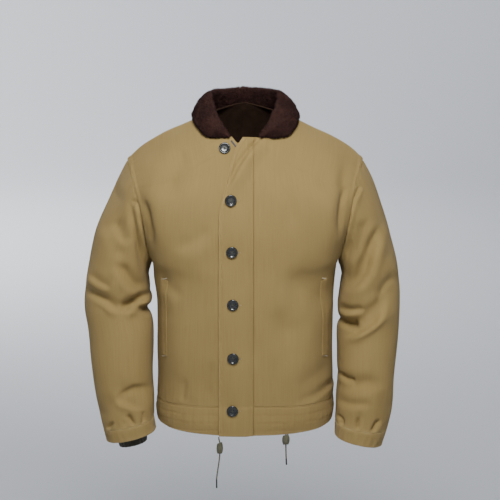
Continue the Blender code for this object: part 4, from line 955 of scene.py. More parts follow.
def band_grid(panel, side, first, folds):
    """One length of the hem band, from the centre or the fly seam to the side seam."""
    shares = first + (1 - first) * close_lines(BODY_COLUMNS, PANEL_WIDTH)
    u, drop = np.meshgrid(shares, close_lines(BAND_ROWS, BAND_HEIGHT))
    flat = band_points(panel, side, u, drop, np.zeros(u.shape), folds)
    runs = edge_runs(flat)
    left, right, bottom, top = runs.values()
    at_fly = panel == "front" and side > 0
    # The drawstring's channel stands out a little between its two rows of stitches
    channel = 0.0009 * np.exp(-(((drop - 0.60) / 0.20) ** 2))
    rise = ripple(flat) + channel + pucker(left, np.abs(drop - 0.5) * 0.05, *BAND_GATHERS)
    rise += stitched_in(bottom, BAND_STITCHES)
    radii = {"right": SEAM_ROUND, "bottom": SEAM_ROUND, "top": HEM_ROUND}
    if at_fly:
        rise += stitched_in(left, BAND_JOINS)
        radii["left"] = SEAM_ROUND
    turn = turned_in(runs, **radii)
    grids = []
    for height in (rise - turn, rise - HEM_BAND_WALL + 0.8 * turn):
        points = band_points(panel, side, u, drop, height, folds)
        points[..., 1] += (-1.0 if panel == "front" else 1.0) * SEAM / 2 * (u > 0.999)
        grids.append(points)
    if at_fly:
        grids[1][:, 0, 0] -= INNER_LIP
    first_x = FLY_SEAM_X if first > 0 else 0.0
    uv = np.stack([side * (first_x + left), -bottom - 0.003], axis=-1)
    worn = wear(right + 0.003, bottom + 0.004, top)
    return {"outer": grids[0], "inner": grids[1], "uv": uv, "worn": worn, **runs}


def make_hem_bands():
    """The three lengths of the band; returns their grids for the stitches."""
    start = float(u_at("front", FLY_SEAM_X + SEAM, 0.0))
    grids = {
        "hem_band_right": band_grid("front", -1, 0.0, RIGHT_FRONT_FOLDS),
        "hem_band_left": band_grid("front", 1, start, LEFT_FRONT_FOLDS),
        "hem_back_right": band_grid("back", -1, 0.0, BACK_FOLDS),
        "hem_back_left": band_grid("back", 1, 0.0, BACK_FOLDS),
    }
    for name in ("hem_band_right", "hem_band_left"):
        sew_up(name, grids[name])
    rows = len(grids["hem_back_right"]["outer"])
    sew_up("hem_band_back", grids["hem_back_right"], grids["hem_back_left"], joined_rows=rows)
    return grids


def fly_lift(x):
    """The flap lies on the right front and comes down level with the left front at its seam."""
    return (FLY_CLEAR + WALL) * (1 - smoothstep(0.002, FLY_SEAM_X, x))


def fly_edge_x(z):
    """The flap's free edge: straight when buttoned, and drawn back where its top is undone."""
    heights, places = zip(*FLY_EDGE, strict=True)
    nearby = z + np.linspace(-0.010, 0.010, 7)
    return float(np.mean(np.interp(nearby, heights, places)))


def flap_grid():
    """The fly flap from the lower edge of the hem to the neck."""
    shares = close_lines(FLAP_COLUMNS, FLAP_WIDTH)
    drops = 1 - close_lines(BAND_ROWS, BAND_HEIGHT)[:-1]
    # Rows below 0 are on the hem band
    rows = np.concatenate([-drops, NECK_V * close_lines(FLAP_ROWS_UP, BODY_LENGTH)[4:]])
    levels = np.maximum(0.0, rows)
    edges = np.array([fly_edge_x(float(level_at("front", level)["in_z"])) for level in levels])[:, None]
    x = edges + (FLY_SEAM_X - edges) * shares
    v = levels[:, None] + (neck_v_at(x) - NECK_V) * smoothstep(0.9 * NECK_V, NECK_V, levels)[:, None]
    pairs = zip(np.abs(x).ravel(), v.ravel(), strict=True)
    u = np.array([float(u_at("front", place, level)) for place, level in pairs]).reshape(x.shape)
    drop = np.repeat(np.maximum(0.0, -rows)[:, None], len(shares), axis=1)
    side = np.where(x < 0, -1.0, 1.0)[..., None] * np.array([1.0, 0.0, 0.0]) + np.array([0.0, 1.0, 1.0])
    normal = body_normals("front", u, v) * side
    plain = plain_body("front", u, v) * side
    height = fold_height(LEFT_FRONT_FOLDS, plain[..., 0], plain[..., 2])
    height += roll_height(plain[..., 0], plain[..., 2])
    lift = fly_lift(x) + (HEM_BAND_WALL - WALL) * smoothstep(0.0, 0.12, drop)
    z_drop = (HEM_FRONT_Z + (HEM_SIDE_Z - HEM_FRONT_Z) * u**2 - plain[..., 2]) * drop
    up = run_lengths(np.stack([x, 0 * x, plain[..., 2] + z_drop], axis=-1), 0)
    runs = edge_runs(plain) | {"bottom": up, "top": up[-1:] - up}
    left = runs["left"]
    at_rest = plain + np.stack([0 * x, 0 * x, z_drop], axis=-1)
    # The turned edge is thicker, and the cloth sinks a little along its rows of stitches
    rise = ripple(at_rest) + 0.0007 * (1 - smoothstep(FLAP_ROWS[1] - 0.001, FLAP_ROWS[1] + 0.002, left))
    rise += stitched_in(left, FLAP_ROWS)
    rise += pucker(up, np.abs(left - 0.004), *FLAP_GATHERS)
    rise += HEM_BELLY * np.sin(math.pi * drop)
    turn = turned_in(runs, left=FLAP_ROUND, bottom=FLAP_ROUND, right=SEAM_ROUND, top=SEAM_ROUND)
    grids = []
    for wall in (-turn, 0.8 * turn - WALL):
        points = plain + normal * (height + lift + rise + wall)[..., None]
        points[..., 2] += z_drop
        grids.append(points)
    uv = np.stack([x, up - BAND_HEIGHT], axis=-1)
    return {"outer": grids[0], "inner": grids[1], "uv": uv, "worn": 0.5 * wear(left, up), **runs}


def make_flap():
    grid = flap_grid()
    sew_up("fly_flap", grid)
    return grid


def make_welts():
    """A folded strip over each slash pocket, lying on its front."""
    for name, side, folds, creases in (
        ("pocket_welt_right", -1, RIGHT_FRONT_FOLDS, RIGHT_FRONT_CREASES),
        ("pocket_welt_left", 1, LEFT_FRONT_FOLDS, LEFT_FRONT_CREASES),
    ):
        low, high = (v_at_height("front", WELT_INNER_X, z) for z in (WELT_BOTTOM_Z, WELT_TOP_Z))
        places = WELT_INNER_X + (WELT_OUTER_X - WELT_INNER_X) * close_lines(WELT_LINES[0], WELT_WIDTH)
        levels = low + (high - low) * close_lines(WELT_LINES[1], WELT_LENGTH)
        u = np.array([u_at("front", places, level) for level in levels])
        v = np.repeat(levels[:, None], len(places), axis=1)
        plain = mirrored(plain_body("front", u, v), side)
        runs = edge_runs(plain)
        turn = turned_in(runs, **dict.fromkeys(runs, FLAP_ROUND))
        up = runs["bottom"]
        lift = ripple(plain) + WELT_CLEAR + pucker(up, 0 * up, *WELT_GATHERS)
        lift += crease_height(creases, plain[..., 0], plain[..., 2])
        outer = body_points("front", side, u, v, lift + 0.7 * WELT_THICK - turn, folds)
        inner = body_points("front", side, u, v, lift + 0.4 * turn, folds)
        uv = np.stack([0.5 + up, side * runs["left"]], axis=-1)
        welts[name] = {"outer": outer, "inner": inner, "uv": uv, "worn": 0 * up, **runs}
        sew_up(name, welts[name])


# ---------------------------------------------------------------- sleeves and cuffs


def frame_at(table, t):
    """Middle, outward axis, run axis and half widths of a sleeve at t, before mirroring."""
    rows = rows_of(table)
    found = spline(rows[:, 0], rows, t)
    _, top_x, top_z, under_x, under_z, mid_y, half_depth = np.moveaxis(found, -1, 0)
    top = np.stack([top_x, mid_y, top_z], axis=-1)
    under = np.stack([under_x, mid_y, under_z], axis=-1)
    outward = unit(top - under)
    run = np.stack([outward[..., 2], 0 * mid_y, -outward[..., 0]], axis=-1)
    half_width = 0.5 * np.linalg.norm(top - under, axis=-1)
    return 0.5 * (top + under), outward, run, half_width, half_depth


def rounded(value, power=0.89):
    return np.sign(value) * np.abs(value) ** power


def armhole_place(angle):
    """The armhole at angles from the shoulder over the front: whether on a front, and its v."""
    share = angle / math.pi
    return (share <= 1)[..., None], 1 - (1 - UNDERARM_V) * np.where(share <= 1, share, 2 - share)


def armhole_points(angle, rise=0.0, side=1, body_folds=None):
    """The armhole's outline, plain or with folds."""
    front, v = armhole_place(angle)
    ones = np.ones_like(v)
    if body_folds is None:
        return np.where(front, *(plain_body(panel, ones, v) for panel in ("front", "back")))
    on_front = body_points("front", side, ones, v, rise, body_folds, side > 0)
    return np.where(front, on_front, body_points("back", side, ones, v, rise, BACK_FOLDS))


def armhole_normals(angle):
    front, v = armhole_place(angle)
    ones = np.ones_like(v)
    return np.where(front, *(body_normals(panel, ones, v) for panel in ("front", "back")))


def plain_sleeve(table, t, angle):
    """Points of the sleeve without folds: it leaves the armhole's own outline and turns round."""
    t, angle = np.broadcast_arrays(t, angle)
    middle, outward, run, half_width, half_depth = frame_at(table, t)
    first_middle, first_out, first_run, first_width, first_depth = frame_at(table, 0.0)
    from_middle = armhole_points(np.mod(angle, 2 * math.pi)) - first_middle
    blend = smoothstep(0.0, 0.30, t)
    a = (1 - blend) * (from_middle @ first_out) / first_width + blend * rounded(np.cos(angle))
    b = (1 - blend) * from_middle[..., 1] / first_depth - blend * rounded(np.sin(angle))
    c = (1 - blend) * (from_middle @ first_run)
    points = middle + outward * (half_width * a)[..., None] + run * c[..., None]
    points[..., 1] += half_depth * b
    return points


def sleeve_normals(table, t, angle):
    step, turn = 0.01, 0.12
    t, angle = np.broadcast_arrays(t, angle)
    along = plain_sleeve(table, np.minimum(1.0, t + step), angle)
    along = along - plain_sleeve(table, np.maximum(0.0, t - step), angle)
    around = plain_sleeve(table, t, angle + turn) - plain_sleeve(table, t, angle - turn)
    normal = unit(np.cross(around, along))
    middle, _, run, _, _ = frame_at(table, t)
    inwards = np.einsum("...k,...k", normal, plain_sleeve(table, t, angle) - middle) < 0
    normal = np.where(inwards[..., None], -normal, normal)
    flat = unit(normal - run * np.einsum("...k,...k", normal, run)[..., None])
    return np.where((t > 0.995)[..., None], flat, normal)


def sleeve_grid(table, folds, creases, body_folds, side):
    """A sleeve's grids, from the armhole's own outline down to the cuff seam."""
    shares = close_lines(SLEEVE_ROWS, SLEEVE_LENGTH)
    turns = np.arange(SLEEVE_POINTS) * 2 * math.pi / SLEEVE_POINTS
    t, angle = np.meshgrid(shares, turns, indexing="ij")
    plain = plain_sleeve(table, t, angle)
    normal = sleeve_normals(table, t, angle)
    runs = edge_runs(plain)
    around, down, up = (runs[edge] for edge in ("left", "bottom", "top"))
    height = np.zeros(t.shape)
    for fold in folds:
        facing = smoothstep(-0.1, 0.5, normal[..., 1] * fold[6]) if fold[6] else 1.0
        height += facing * fold_height((fold,), plain[..., 0], plain[..., 2])
    height *= smoothstep(0.02, 0.10, t) * (1 - smoothstep(0.97, 1.0, t))
    sharp = crease_height(creases, plain[..., 0], plain[..., 2], normal[..., 1])
    sharp = np.maximum(sharp, -SLEEVE_HOLD[0] - SLEEVE_HOLD[1] * down)
    height += sharp * (1 - smoothstep(0.985, 1.0, t))
    own, out = mirrored(plain, side), mirrored(normal, side)
    height += ripple(own) + pucker(around, down, *CAP_GATHERS) * smoothstep(0.001, 0.008, down)
    height += pucker(around, up, *WRIST_GATHERS) * smoothstep(0.001, 0.006, up)
    height -= ARMHOLE_SINK * np.exp(-((down / 0.0042) ** 2))
    turn = turned_in(runs, bottom=SEAM_ROUND, top=SEAM_ROUND)
    outer = own + out * (height - turn)[..., None]
    inner = own + out * (height - WALL + 0.5 * turn)[..., None]
    # Its first row is moved to the body's armhole, a seam's gap away
    edge, under = (armhole_points(turns, rise, side, body_folds) for rise in (0.0, -WALL))
    ahead = mirrored(plain_sleeve(table, np.full(turns.shape, 1 / 24), turns), side)
    away = unit(ahead - edge)
    body_out = mirrored(armhole_normals(turns), side)
    level = smoothstep(0.0, 0.5, np.einsum("ij,ij->i", body_out, out[0]))[:, None]
    start = edge + SEAM * unit(away + (1 - level) * body_out)
    start_inner = level * (under + SEAM * away) + (1 - level) * (start - out[0] * WALL)
    fade = (1 - smoothstep(0.0, 0.055, t))[..., None]
    outer = outer + fade * (start - own[0])
    inner = inner + fade * (start_inner - own[0] + out[0] * WALL)
    # Creases are steep beside the armhole, so there the inner face is laid along the outer one's slope
    slope = unit(np.cross(np.roll(outer, -1, 1) - np.roll(outer, 1, 1), np.gradient(outer, axis=0)))
    slope *= np.sign(np.sum(slope * out, axis=-1, keepdims=True))
    near_seam = (1 - smoothstep(0.035, 0.085, t))[..., None]
    inner += near_seam * (outer - SLEEVE_TOP_WALL * slope - inner)
    lip = INNER_LIP * unit(outer[0] - outer[4])
    outer[0] += lip
    inner[0] += lip
    uv = ring_uv(turns, side * SLEEVE_GIRTH, 1.3 - 0.6 * shares)
    return {"outer": outer, "inner": inner, "uv": uv, "worn": wear(down, up), **runs}


def make_sleeve(name, table, folds, creases, body_folds, side):
    sew_up(name, sleeve_grid(table, folds, creases, body_folds, side), ring=True)


def cuff_rings(table, edge, side, share, turns, grown=0.0, closed_in=None):
    """Rings of a cuff: share 0 at its seam, 1 at its lower edge; closed_in may narrow them."""
    middle, outward, run, half_width, half_depth = frame_at(table, 1.0)
    top = np.array([edge["top_x"], CUFF_MID_Y, edge["top_z"]])
    under = np.array([edge["under_x"], CUFF_MID_Y, edge["under_z"]])
    low_middle, low_out = 0.5 * (top + under), unit(top - under)
    low_width = 0.5 * float(np.linalg.norm(top - under))
    start = middle + run * SEAM
    share, turns = np.broadcast_arrays(share, turns)
    held = np.minimum(1.0, share)[..., None]
    centre = start + (low_middle - start) * share[..., None]
    axis = unit(outward + (low_out - outward) * held)
    width = half_width + (low_width - half_width) * held[..., 0]
    depth = half_depth + (CUFF_HALF_DEPTH - half_depth) * held[..., 0]
    if closed_in:
        width, depth = closed_in(width), closed_in(depth)
    points = centre + axis * ((width + grown) * rounded(np.cos(turns)))[..., None]
    points[..., 1] -= (depth + grown) * rounded(np.sin(turns))
    return mirrored(points, side)


def make_cuff(name, table, edge, side):
    """The turned, stitched end of a sleeve; returns its grid for the stitches."""
    shares = close_lines(CUFF_ROWS_DOWN, CUFF_HEIGHT)
    turns = np.arange(SLEEVE_POINTS) * 2 * math.pi / SLEEVE_POINTS
    place = (table, edge, side, *np.meshgrid(shares, turns, indexing="ij"))
    flat = cuff_rings(*place)
    runs = edge_runs(flat)
    around, down, up = (runs[one] for one in ("left", "bottom", "top"))
    height = 0.6 * ripple(flat) + pucker(around, np.abs(up - 0.012), *CUFF_GATHERS)
    tuck = turned_in(runs, bottom=SEAM_ROUND, top=HEM_ROUND)
    outer, inner = (cuff_rings(*place, grown) for grown in (height - tuck, height - CUFF_WALL + 0.8 * tuck))
    uv = ring_uv(turns, side * SLEEVE_GIRTH, -CUFF_HEIGHT * shares)
    grid = {"outer": outer, "inner": inner, "uv": uv, "worn": wear(down, up), **runs}
    sew_up(name, grid, ring=True)
    return grid


def make_knit_cuff(name, table, edge, side, last_share):
    """Rounded ribs stand out of the outer face, and the wrist edge is turned."""
    _, at, snugness = zip(*KNIT_LEVELS, strict=True)
    shares = at[0] + (last_share - at[0]) * close_lines(KNIT_ROWS, KNIT_LENGTH)
    turns = np.arange(KNIT_RIBS * 10) * 2 * math.pi / (KNIT_RIBS * 10)
    share, turn = np.meshgrid(shares, turns, indexing="ij")
    snug = np.interp(share, at, snugness)

    def closed_in(width):
        return (1 - snug) * (width - CUFF_WALL - KNIT_CLEAR - KNIT_RIB) + snug * KNIT_WRIST_RADIUS

    def rings(grown):
        return cuff_rings(table, edge, side, share, turn, grown, closed_in)

    tuck = rounding(edge_runs(rings(0.0))["top"], SEAM_ROUND)
    rib = KNIT_RIB * (0.5 - 0.5 * np.cos(KNIT_RIBS * turn)) ** 0.7 - tuck
    uv = ring_uv(turns, KNIT_GIRTH, -0.06 * shares)
    grid = {"outer": rings(rib), "inner": rings(tuck - KNIT_WALL), "uv": uv, "worn": 0 * rib}
    pieces[name] = shell(name + "_ribbing", [grid], [finishes["knit"]] * 2, ring=True)


# ---------------------------------------------------------------- collar, buttons, zip end and cords


def made_real(source, name):
    """The evaluated object as a plain mesh object that takes its place."""
    graph = bpy.context.evaluated_depsgraph_get()
    data = bpy.data.meshes.new_from_object(source.evaluated_get(graph), depsgraph=graph)
    data.name = name
    made = linked_object(name, data)
    bpy.data.objects.remove(source, do_unlink=True)
    return made


def with_nodes(source, tree, name, **values):
    """The source after a geometry node tree, with its named inputs set, as a plain mesh."""
    step = source.modifiers.new("making", "NODES")
    step.node_group = tree
    for item in tree.interface.items_tree:
        if item.item_type == "SOCKET" and item.in_out == "INPUT" and item.name in values:
            step[item.identifier] = values[item.name]
    return made_real(source, name)


def node_group(kind, name, inputs, outputs):
    """An empty node group with named inputs (kind, value) and outputs."""
    tree = bpy.data.node_groups.new(name, kind)
    for label, (socket, value) in inputs.items():
        made = tree.interface.new_socket(label, in_out="INPUT", socket_type=socket)
        if value is not None:
            made.default_value = value
    for label, socket in outputs.items():
        tree.interface.new_socket(label, in_out="OUTPUT", socket_type=socket)
    return tree, tree.nodes.new("NodeGroupInput"), tree.nodes.new("NodeGroupOutput")


def shape_tree(name, inputs, output, nodes, links):
    """Geometry nodes from a table of nodes and settings, and links written 'node.Output > node.Input'."""
    tree, given, result = node_group("GeometryNodeTree", name, inputs, {output: "NodeSocketGeometry"})
    made = {"given": given, "result": result}
    for label, (kind, settings) in nodes.items():
        node = made[label] = tree.nodes.new(kind)
        for key, value in settings.items():
            if isinstance(key, int) or key in node.inputs:
                node.inputs[key].default_value = value
            else:
                setattr(node, key, value)
    for link in links:
        (source, out), (target, into) = (end.split(".") for end in link.split(" > "))
        tree.links.new(made[source].outputs[int(out) if out.isdigit() else out], made[target].inputs[into])
    return tree


def pile_tree():
    """Short tapered tufts all over a skin, leaning every way, on the skin itself."""
    lean = {"data_type": "FLOAT_VECTOR", "Seed": 11}
    lean |= {"Min": (-PILE_LEAN, -PILE_LEAN, -3.14), "Max": (PILE_LEAN, PILE_LEAN, 3.14)}
    inputs = {
        "Skin": ("NodeSocketGeometry", None),
        "Tufts per square metre": ("NodeSocketFloat", PILE_DENSITY),
        "Tuft length": ("NodeSocketFloat", PILE_LENGTH),
        "Tuft width": ("NodeSocketFloat", PILE_WIDTH),
    }
    nodes = {
        "spread": ("GeometryNodeDistributePointsOnFaces", {"Seed": 7}),
        "tuft": ("GeometryNodeMeshCone", {"fill_type": "NONE", "Vertices": 3, "Radius Top": 0.0}),
        "lean": ("FunctionNodeRandomValue", lean),
        # Inputs 2 and 3 and output 1 are this node's plain numbers: least, most and the value
        "size": ("FunctionNodeRandomValue", {2: 0.65, 3: 1.15, "Seed": 13}),
        "as_turn": ("FunctionNodeEulerToRotation", {}),
        "turn": ("FunctionNodeRotateRotation", {"rotation_space": "LOCAL"}),
        "place": ("GeometryNodeInstanceOnPoints", {}),
        "real": ("GeometryNodeRealizeInstances", {}),
        "join": ("GeometryNodeJoinGeometry", {}),
        "finish": ("GeometryNodeSetMaterial", {"Material": finishes["pile"]}),
    }
    links = (
        "given.Skin > spread.Mesh",
        "given.Tufts per square metre > spread.Density",
        "given.Tuft length > tuft.Depth",
        "given.Tuft width > tuft.Radius Bottom",
        "lean.Value > as_turn.Euler",
        "spread.Rotation > turn.Rotation",
        "as_turn.Rotation > turn.Rotate By",
        "spread.Points > place.Points",
        "tuft.Mesh > place.Instance",
        "turn.Rotation > place.Rotation",
        "size.1 > place.Scale",
        "place.Instances > real.Geometry",
        "real.Geometry > join.Geometry",
        "given.Skin > join.Geometry",
        "join.Geometry > finish.Geometry",
        "finish.Geometry > result.Pile",
    )
    return shape_tree("pile_tufts", inputs, "Pile", nodes, links)


def make_collar():
    """The collar's own solid, merged, rounded and roughened, with its pile on it."""
    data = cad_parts["collar"].data.copy()
    mesh = bmesh.new()
    mesh.from_mesh(data)
    bmesh.ops.remove_doubles(mesh, verts=mesh.verts[:], dist=1e-5)
    bmesh.ops.join_triangles(
        mesh, faces=mesh.faces[:], angle_face_threshold=0.9, angle_shape_threshold=1.2, cmp_materials=False
    )
    every_way = {"use_axis_x": True, "use_axis_y": True, "use_axis_z": True}
    bmesh.ops.smooth_vert(mesh, verts=mesh.verts[:], factor=0.25, **every_way)
    mesh.to_mesh(data)
    mesh.free()
    skin = linked_object("collar_skin", data)
    finer = skin.modifiers.new("finer", "SUBSURF")
    finer.levels = finer.render_levels = 2
    skin = made_real(skin, "collar_skin")
    mesh = bmesh.new()
    mesh.from_mesh(skin.data)
    mesh.normal_update()
    for vert in mesh.verts:
        lump = sum(height * noise.noise(vert.co * pitch) for pitch, height in COLLAR_LUMPS)
        vert.co += vert.normal * (lump - COLLAR_SINK)
    mesh.to_mesh(skin.data)
    mesh.free()
    skin.data.materials.clear()
    skin.data.materials.append(finishes["pile"])
    made = with_nodes(skin, pile_tree(), "collar_pile")
    made.data.shade_smooth()
    pieces["collar"] = made


def turned(profile, steps):
    """A mesh turned about Z from a profile of (radius, height), axis to axis."""
    mesh = bmesh.new()
    verts = [mesh.verts.new((radius, 0.0, height)) for radius, height in profile]
    edges = [mesh.edges.new(pair) for pair in zip(verts, verts[1:], strict=False)]
    about = {"axis": (0, 0, 1), "cent": (0, 0, 0), "angle": 2 * math.pi}
    bmesh.ops.spin(mesh, geom=verts + edges, steps=steps, use_merge=True, **about)
    bmesh.ops.remove_doubles(mesh, verts=mesh.verts[:], dist=1e-6)
    bmesh.ops.recalc_face_normals(mesh, faces=mesh.faces[:])
    return mesh


def as_data(mesh, name, finish):
    data = bpy.data.meshes.new(name)
    mesh.to_mesh(data)
    mesh.free()
    data.materials.append(finish)
    return data


def button_data():
    """One button at the origin, face towards +Z: dished, with four holes and crossed thread."""
    profile = [(radius * BUTTON_RADIUS, height * BUTTON_RIM) for radius, height in BUTTON_PROFILE]
    horn = finishes["horn"]
    body = placed("button_blank", as_data(turned(profile, BUTTON_STEPS), "button_blank", horn))
    drills = bmesh.new()
    signs = ((-1, -1), (-1, 1), (1, -1), (1, 1))
    holes = [(sx * BUTTON_HOLE_FROM_MIDDLE, sy * BUTTON_HOLE_FROM_MIDDLE) for sx, sy in signs]
    round_hole = {"cap_ends": True, "segments": 12, "radius1": BUTTON_HOLE, "radius2": BUTTON_HOLE}
    for x, y in holes:
        at = Matrix.Translation((x, y, 0.5 * BUTTON_RIM))
        bmesh.ops.create_cone(drills, depth=3 * BUTTON_RIM, matrix=at, **round_hole)
    drill = placed("button_drill", as_data(drills, "button_drill", horn))
    cut = body.modifiers.new("holes", "BOOLEAN")
    cut.object = drill
    cut.solver = "EXACT"
    body = made_real(body, "button_drilled")
    bpy.data.objects.remove(drill, do_unlink=True)
    mesh = bmesh.new()
    mesh.from_mesh(body.data)
    bpy.data.objects.remove(body, do_unlink=True)
    low = BUTTON_RIM * BUTTON_PROFILE[-1][1] - 0.0004
    for first, second in ((0, 3), (1, 2)):
        for shift in (-0.0003, 0.0003):
            start, end = Vector((*holes[first], low)), Vector((*holes[second], low))
            beside = Vector((end - start).yx.to_3d()).normalized() * shift
            beside.x = -beside.x
            line = [start.lerp(end, s) + beside for s in np.linspace(0, 1, 7)]
            rise = 0.0008 * np.sin(math.pi * np.linspace(0, 1, 7))
            line = np.array(line) + rise[:, None] * np.array([0.0, 0.0, 1.0])
            add_tube(mesh, line, lambda share, angle: BUTTON_THREAD, 6, 1)
    data = as_data(mesh, "button", horn)
    data.materials.append(finishes["button_thread"])
    return data


def add_tube(mesh, line, radius_at, sides, finish=0):
    """A closed tube along a line of points; radius_at(share, angle) may vary round it."""
    line = np.asarray(line, float)
    tangent = unit(np.gradient(line, axis=0))
    aside = unit(np.cross(tangent[0], [0.31, 0.17, 0.93]))
    rings = []
    shares = np.linspace(0.0, 1.0, len(line))
    for point, along, share in zip(line, tangent, shares, strict=True):
        aside = unit(aside - along * float(aside @ along))
        third = np.cross(along, aside)
        ring = []
        for c in range(sides):
            angle = 2 * math.pi * c / sides
            away = aside * math.cos(angle) + third * math.sin(angle)
            ring.append(mesh.verts.new(point + radius_at(share, angle) * away))
        rings.append(ring)
    made = []
    for first, second in zip(rings, rings[1:], strict=False):
        for c in range(sides):
            d = (c + 1) % sides
            made.append(mesh.faces.new([first[c], first[d], second[d], second[c]]))
    made.append(mesh.faces.new(rings[0][::-1]))
    made.append(mesh.faces.new(rings[-1]))
    for one in made:
        one.material_index = finish
        one.smooth = True


def button_seat(name):
    """Foot and outward normal of a button, on the cloth that carries it."""
    x, z = BUTTONS[name]
    low, high = (np.array(corner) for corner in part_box(name))
    middle = 0.5 * (low + high)
    v = 0.0 if z < FRONT_LEVELS["hem seam"][2] else v_at_height("front", abs(x), z)
    normal = mirrored(body_normals("front", u_at("front", abs(x), v), v), -1)
    return middle - normal * 0.5 * BUTTON_RIM, normal


def make_buttons():
    pattern = button_data()
    for k, name in enumerate(BUTTONS):
        foot, normal = button_seat(name)
        data = pattern.copy()
        facing = Vector(normal).to_track_quat("Z", "Y").to_matrix().to_4x4()
        data.transform(Matrix.Translation(foot) @ facing @ Matrix.Rotation(0.5 + 1.3 * k, 4, "Z"))
        pieces[name] = placed(name + "_horn", data, 40)


def make_zip_end():
    """The top end of the zip's tape, with a row of teeth along its edge."""
    shifts = np.linspace(-0.5, 0.5, 7)
    runs = np.linspace(0.0, 1.0, 12)
    grids = []
    for thick, tooth in ((ZIP_THICK, ZIP_TOOTH), (0.0, 0.0)):
        points = np.zeros((len(runs), len(shifts), 3))
        for row, run in enumerate(runs):
            x = ZIP_X[0] + (ZIP_X[1] - ZIP_X[0]) * run
            z = ZIP_Z[0] + (ZIP_Z[1] - ZIP_Z[0]) * run
            for column, shift in enumerate(shifts):
                place = abs(x + shift * ZIP_WIDTH * ZIP_TILT[0])
                v = v_at_height("front", place, z + shift * ZIP_WIDTH * ZIP_TILT[1])
                u = u_at("front", place, v)
                raised = tooth * (abs(shift) < 0.2) * (0.5 + 0.5 * math.cos(6 * math.pi * run))
                rise = np.array(LIE_ON + thick + raised)
                points[row, column] = body_points("front", -1, u, v, rise, RIGHT_FRONT_FOLDS)
        grids.append(points)
    uv = np.stack(np.meshgrid(shifts * ZIP_WIDTH, runs * 0.014), axis=-1)
    grid = {"outer": grids[0], "inner": grids[1], "uv": uv, "worn": np.zeros(uv.shape[:2])}
    pieces["zip_end"] = shell("zip_end_tape", [grid], [finishes["metal"]] * 2)


def cord_line(place):
    """The centre line of a free end: out of the hem, through its knot and down into its tip."""
    y = place["y"]
    knot_top = (place["knot_x"], y, place["knot_z"] + place["knot_height"])
    knot_foot = (place["knot_x"], y, place["knot_z"])
    first = [place["exit"], place["bend"]] if "exit" in place else []
    points = np.array([*first, knot_top, knot_foot, place["sway"], place["tip_top"], place["tip_end"]])
    stations = np.concatenate([[0.0], np.cumsum(np.linalg.norm(np.diff(points, axis=0), axis=1))])
    return spline(stations, points, np.linspace(0.0, stations[-1] - 0.0008, round(stations[-1] / CORD_STEP)))


def make_drawstring():
    """Two free ends of braided cord, each with a wound stopper knot and a stiff tip."""
    for side, place in DRAWSTRING.items():
        line = cord_line(place)
        mesh = bmesh.new()
        turns = len(line) * CORD_STEP / CORD_BRAID

        def braided(share, angle, turns=turns):
            twist = 2 * math.pi * turns * share
            return CORD_RADIUS * (0.97 + 0.06 * math.sin(2 * angle + twist) * math.sin(2 * angle - twist))

        add_tube(mesh, line, braided, 16)
        run = placed(f"drawstring_{side}_cord", as_data(mesh, f"drawstring_{side}_cord", finishes["cord"]))
        knot, end = make_knot(side, place), make_tip(side, place)
        for made, slot, nodes in (
            (run, "olive_cord", place["nodes"]),
            (knot, "olive_cord", (f"knot_{side}",)),
            (end, "dark_tip", (f"tip_{side}",)),
        ):
            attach(made, "root")
            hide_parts(*nodes)
        place["exit"] if "exit" in place else tuple(line[0])


def make_knot(side, place):
    """A barrel knot: the cord wound round itself, fuller in its middle."""
    strand = place["knot_height"] / (2 * KNOT_TURNS) * KNOT_PRESS
    share = np.linspace(0.0, 1.0, KNOT_TURNS * 20 + 1)
    turn = 2 * math.pi * KNOT_TURNS * share
    radius = (place["knot_radius"] - strand) * np.sin(math.pi * (0.16 + 0.68 * share)) ** 0.6
    height = strand + (place["knot_height"] - 2 * strand) * share + KNOT_SLANT * np.cos(turn + 0.8)
    line = np.stack([radius * np.cos(turn), radius * np.sin(turn), height], axis=-1)
    mesh = bmesh.new()
    middle = np.array([place["knot_x"], place["y"], place["knot_z"]])
    add_tube(mesh, line + middle, lambda share, angle: strand, 10)
    return placed(f"knot_{side}_wound", as_data(mesh, f"knot_{side}_wound", finishes["cord"]))


def make_tip(side, place):
    """The stiff dark end of the cord, rolled tight, with a rounded foot."""
    top, foot = Vector(place["tip_top"]), Vector(place["tip_end"])
    length = (top - foot).length
    wide = 1.12 * CORD_RADIUS
    profile = [(0.0, 0.0), (0.45 * wide, 0.0), (0.85 * wide, 0.0005), (wide, 0.0014)]
    profile += [(wide * (1.0 - 0.04 * (k % 2)), 0.0014 + (length - 0.0024) * k / 12) for k in range(1, 12)]
    profile += [(wide, length - 0.0008), (0.9 * wide, length - 0.0003), (0.0, length - 0.0003)]
    data = as_data(turned(profile, 20), f"tip_{side}_sleeve", finishes["tip"])
    data.transform(Matrix.Translation(foot) @ (top - foot).to_track_quat("Z", "Y").to_matrix().to_4x4())
    return placed(f"tip_{side}_sleeve", data)


# ---------------------------------------------------------------- stitches


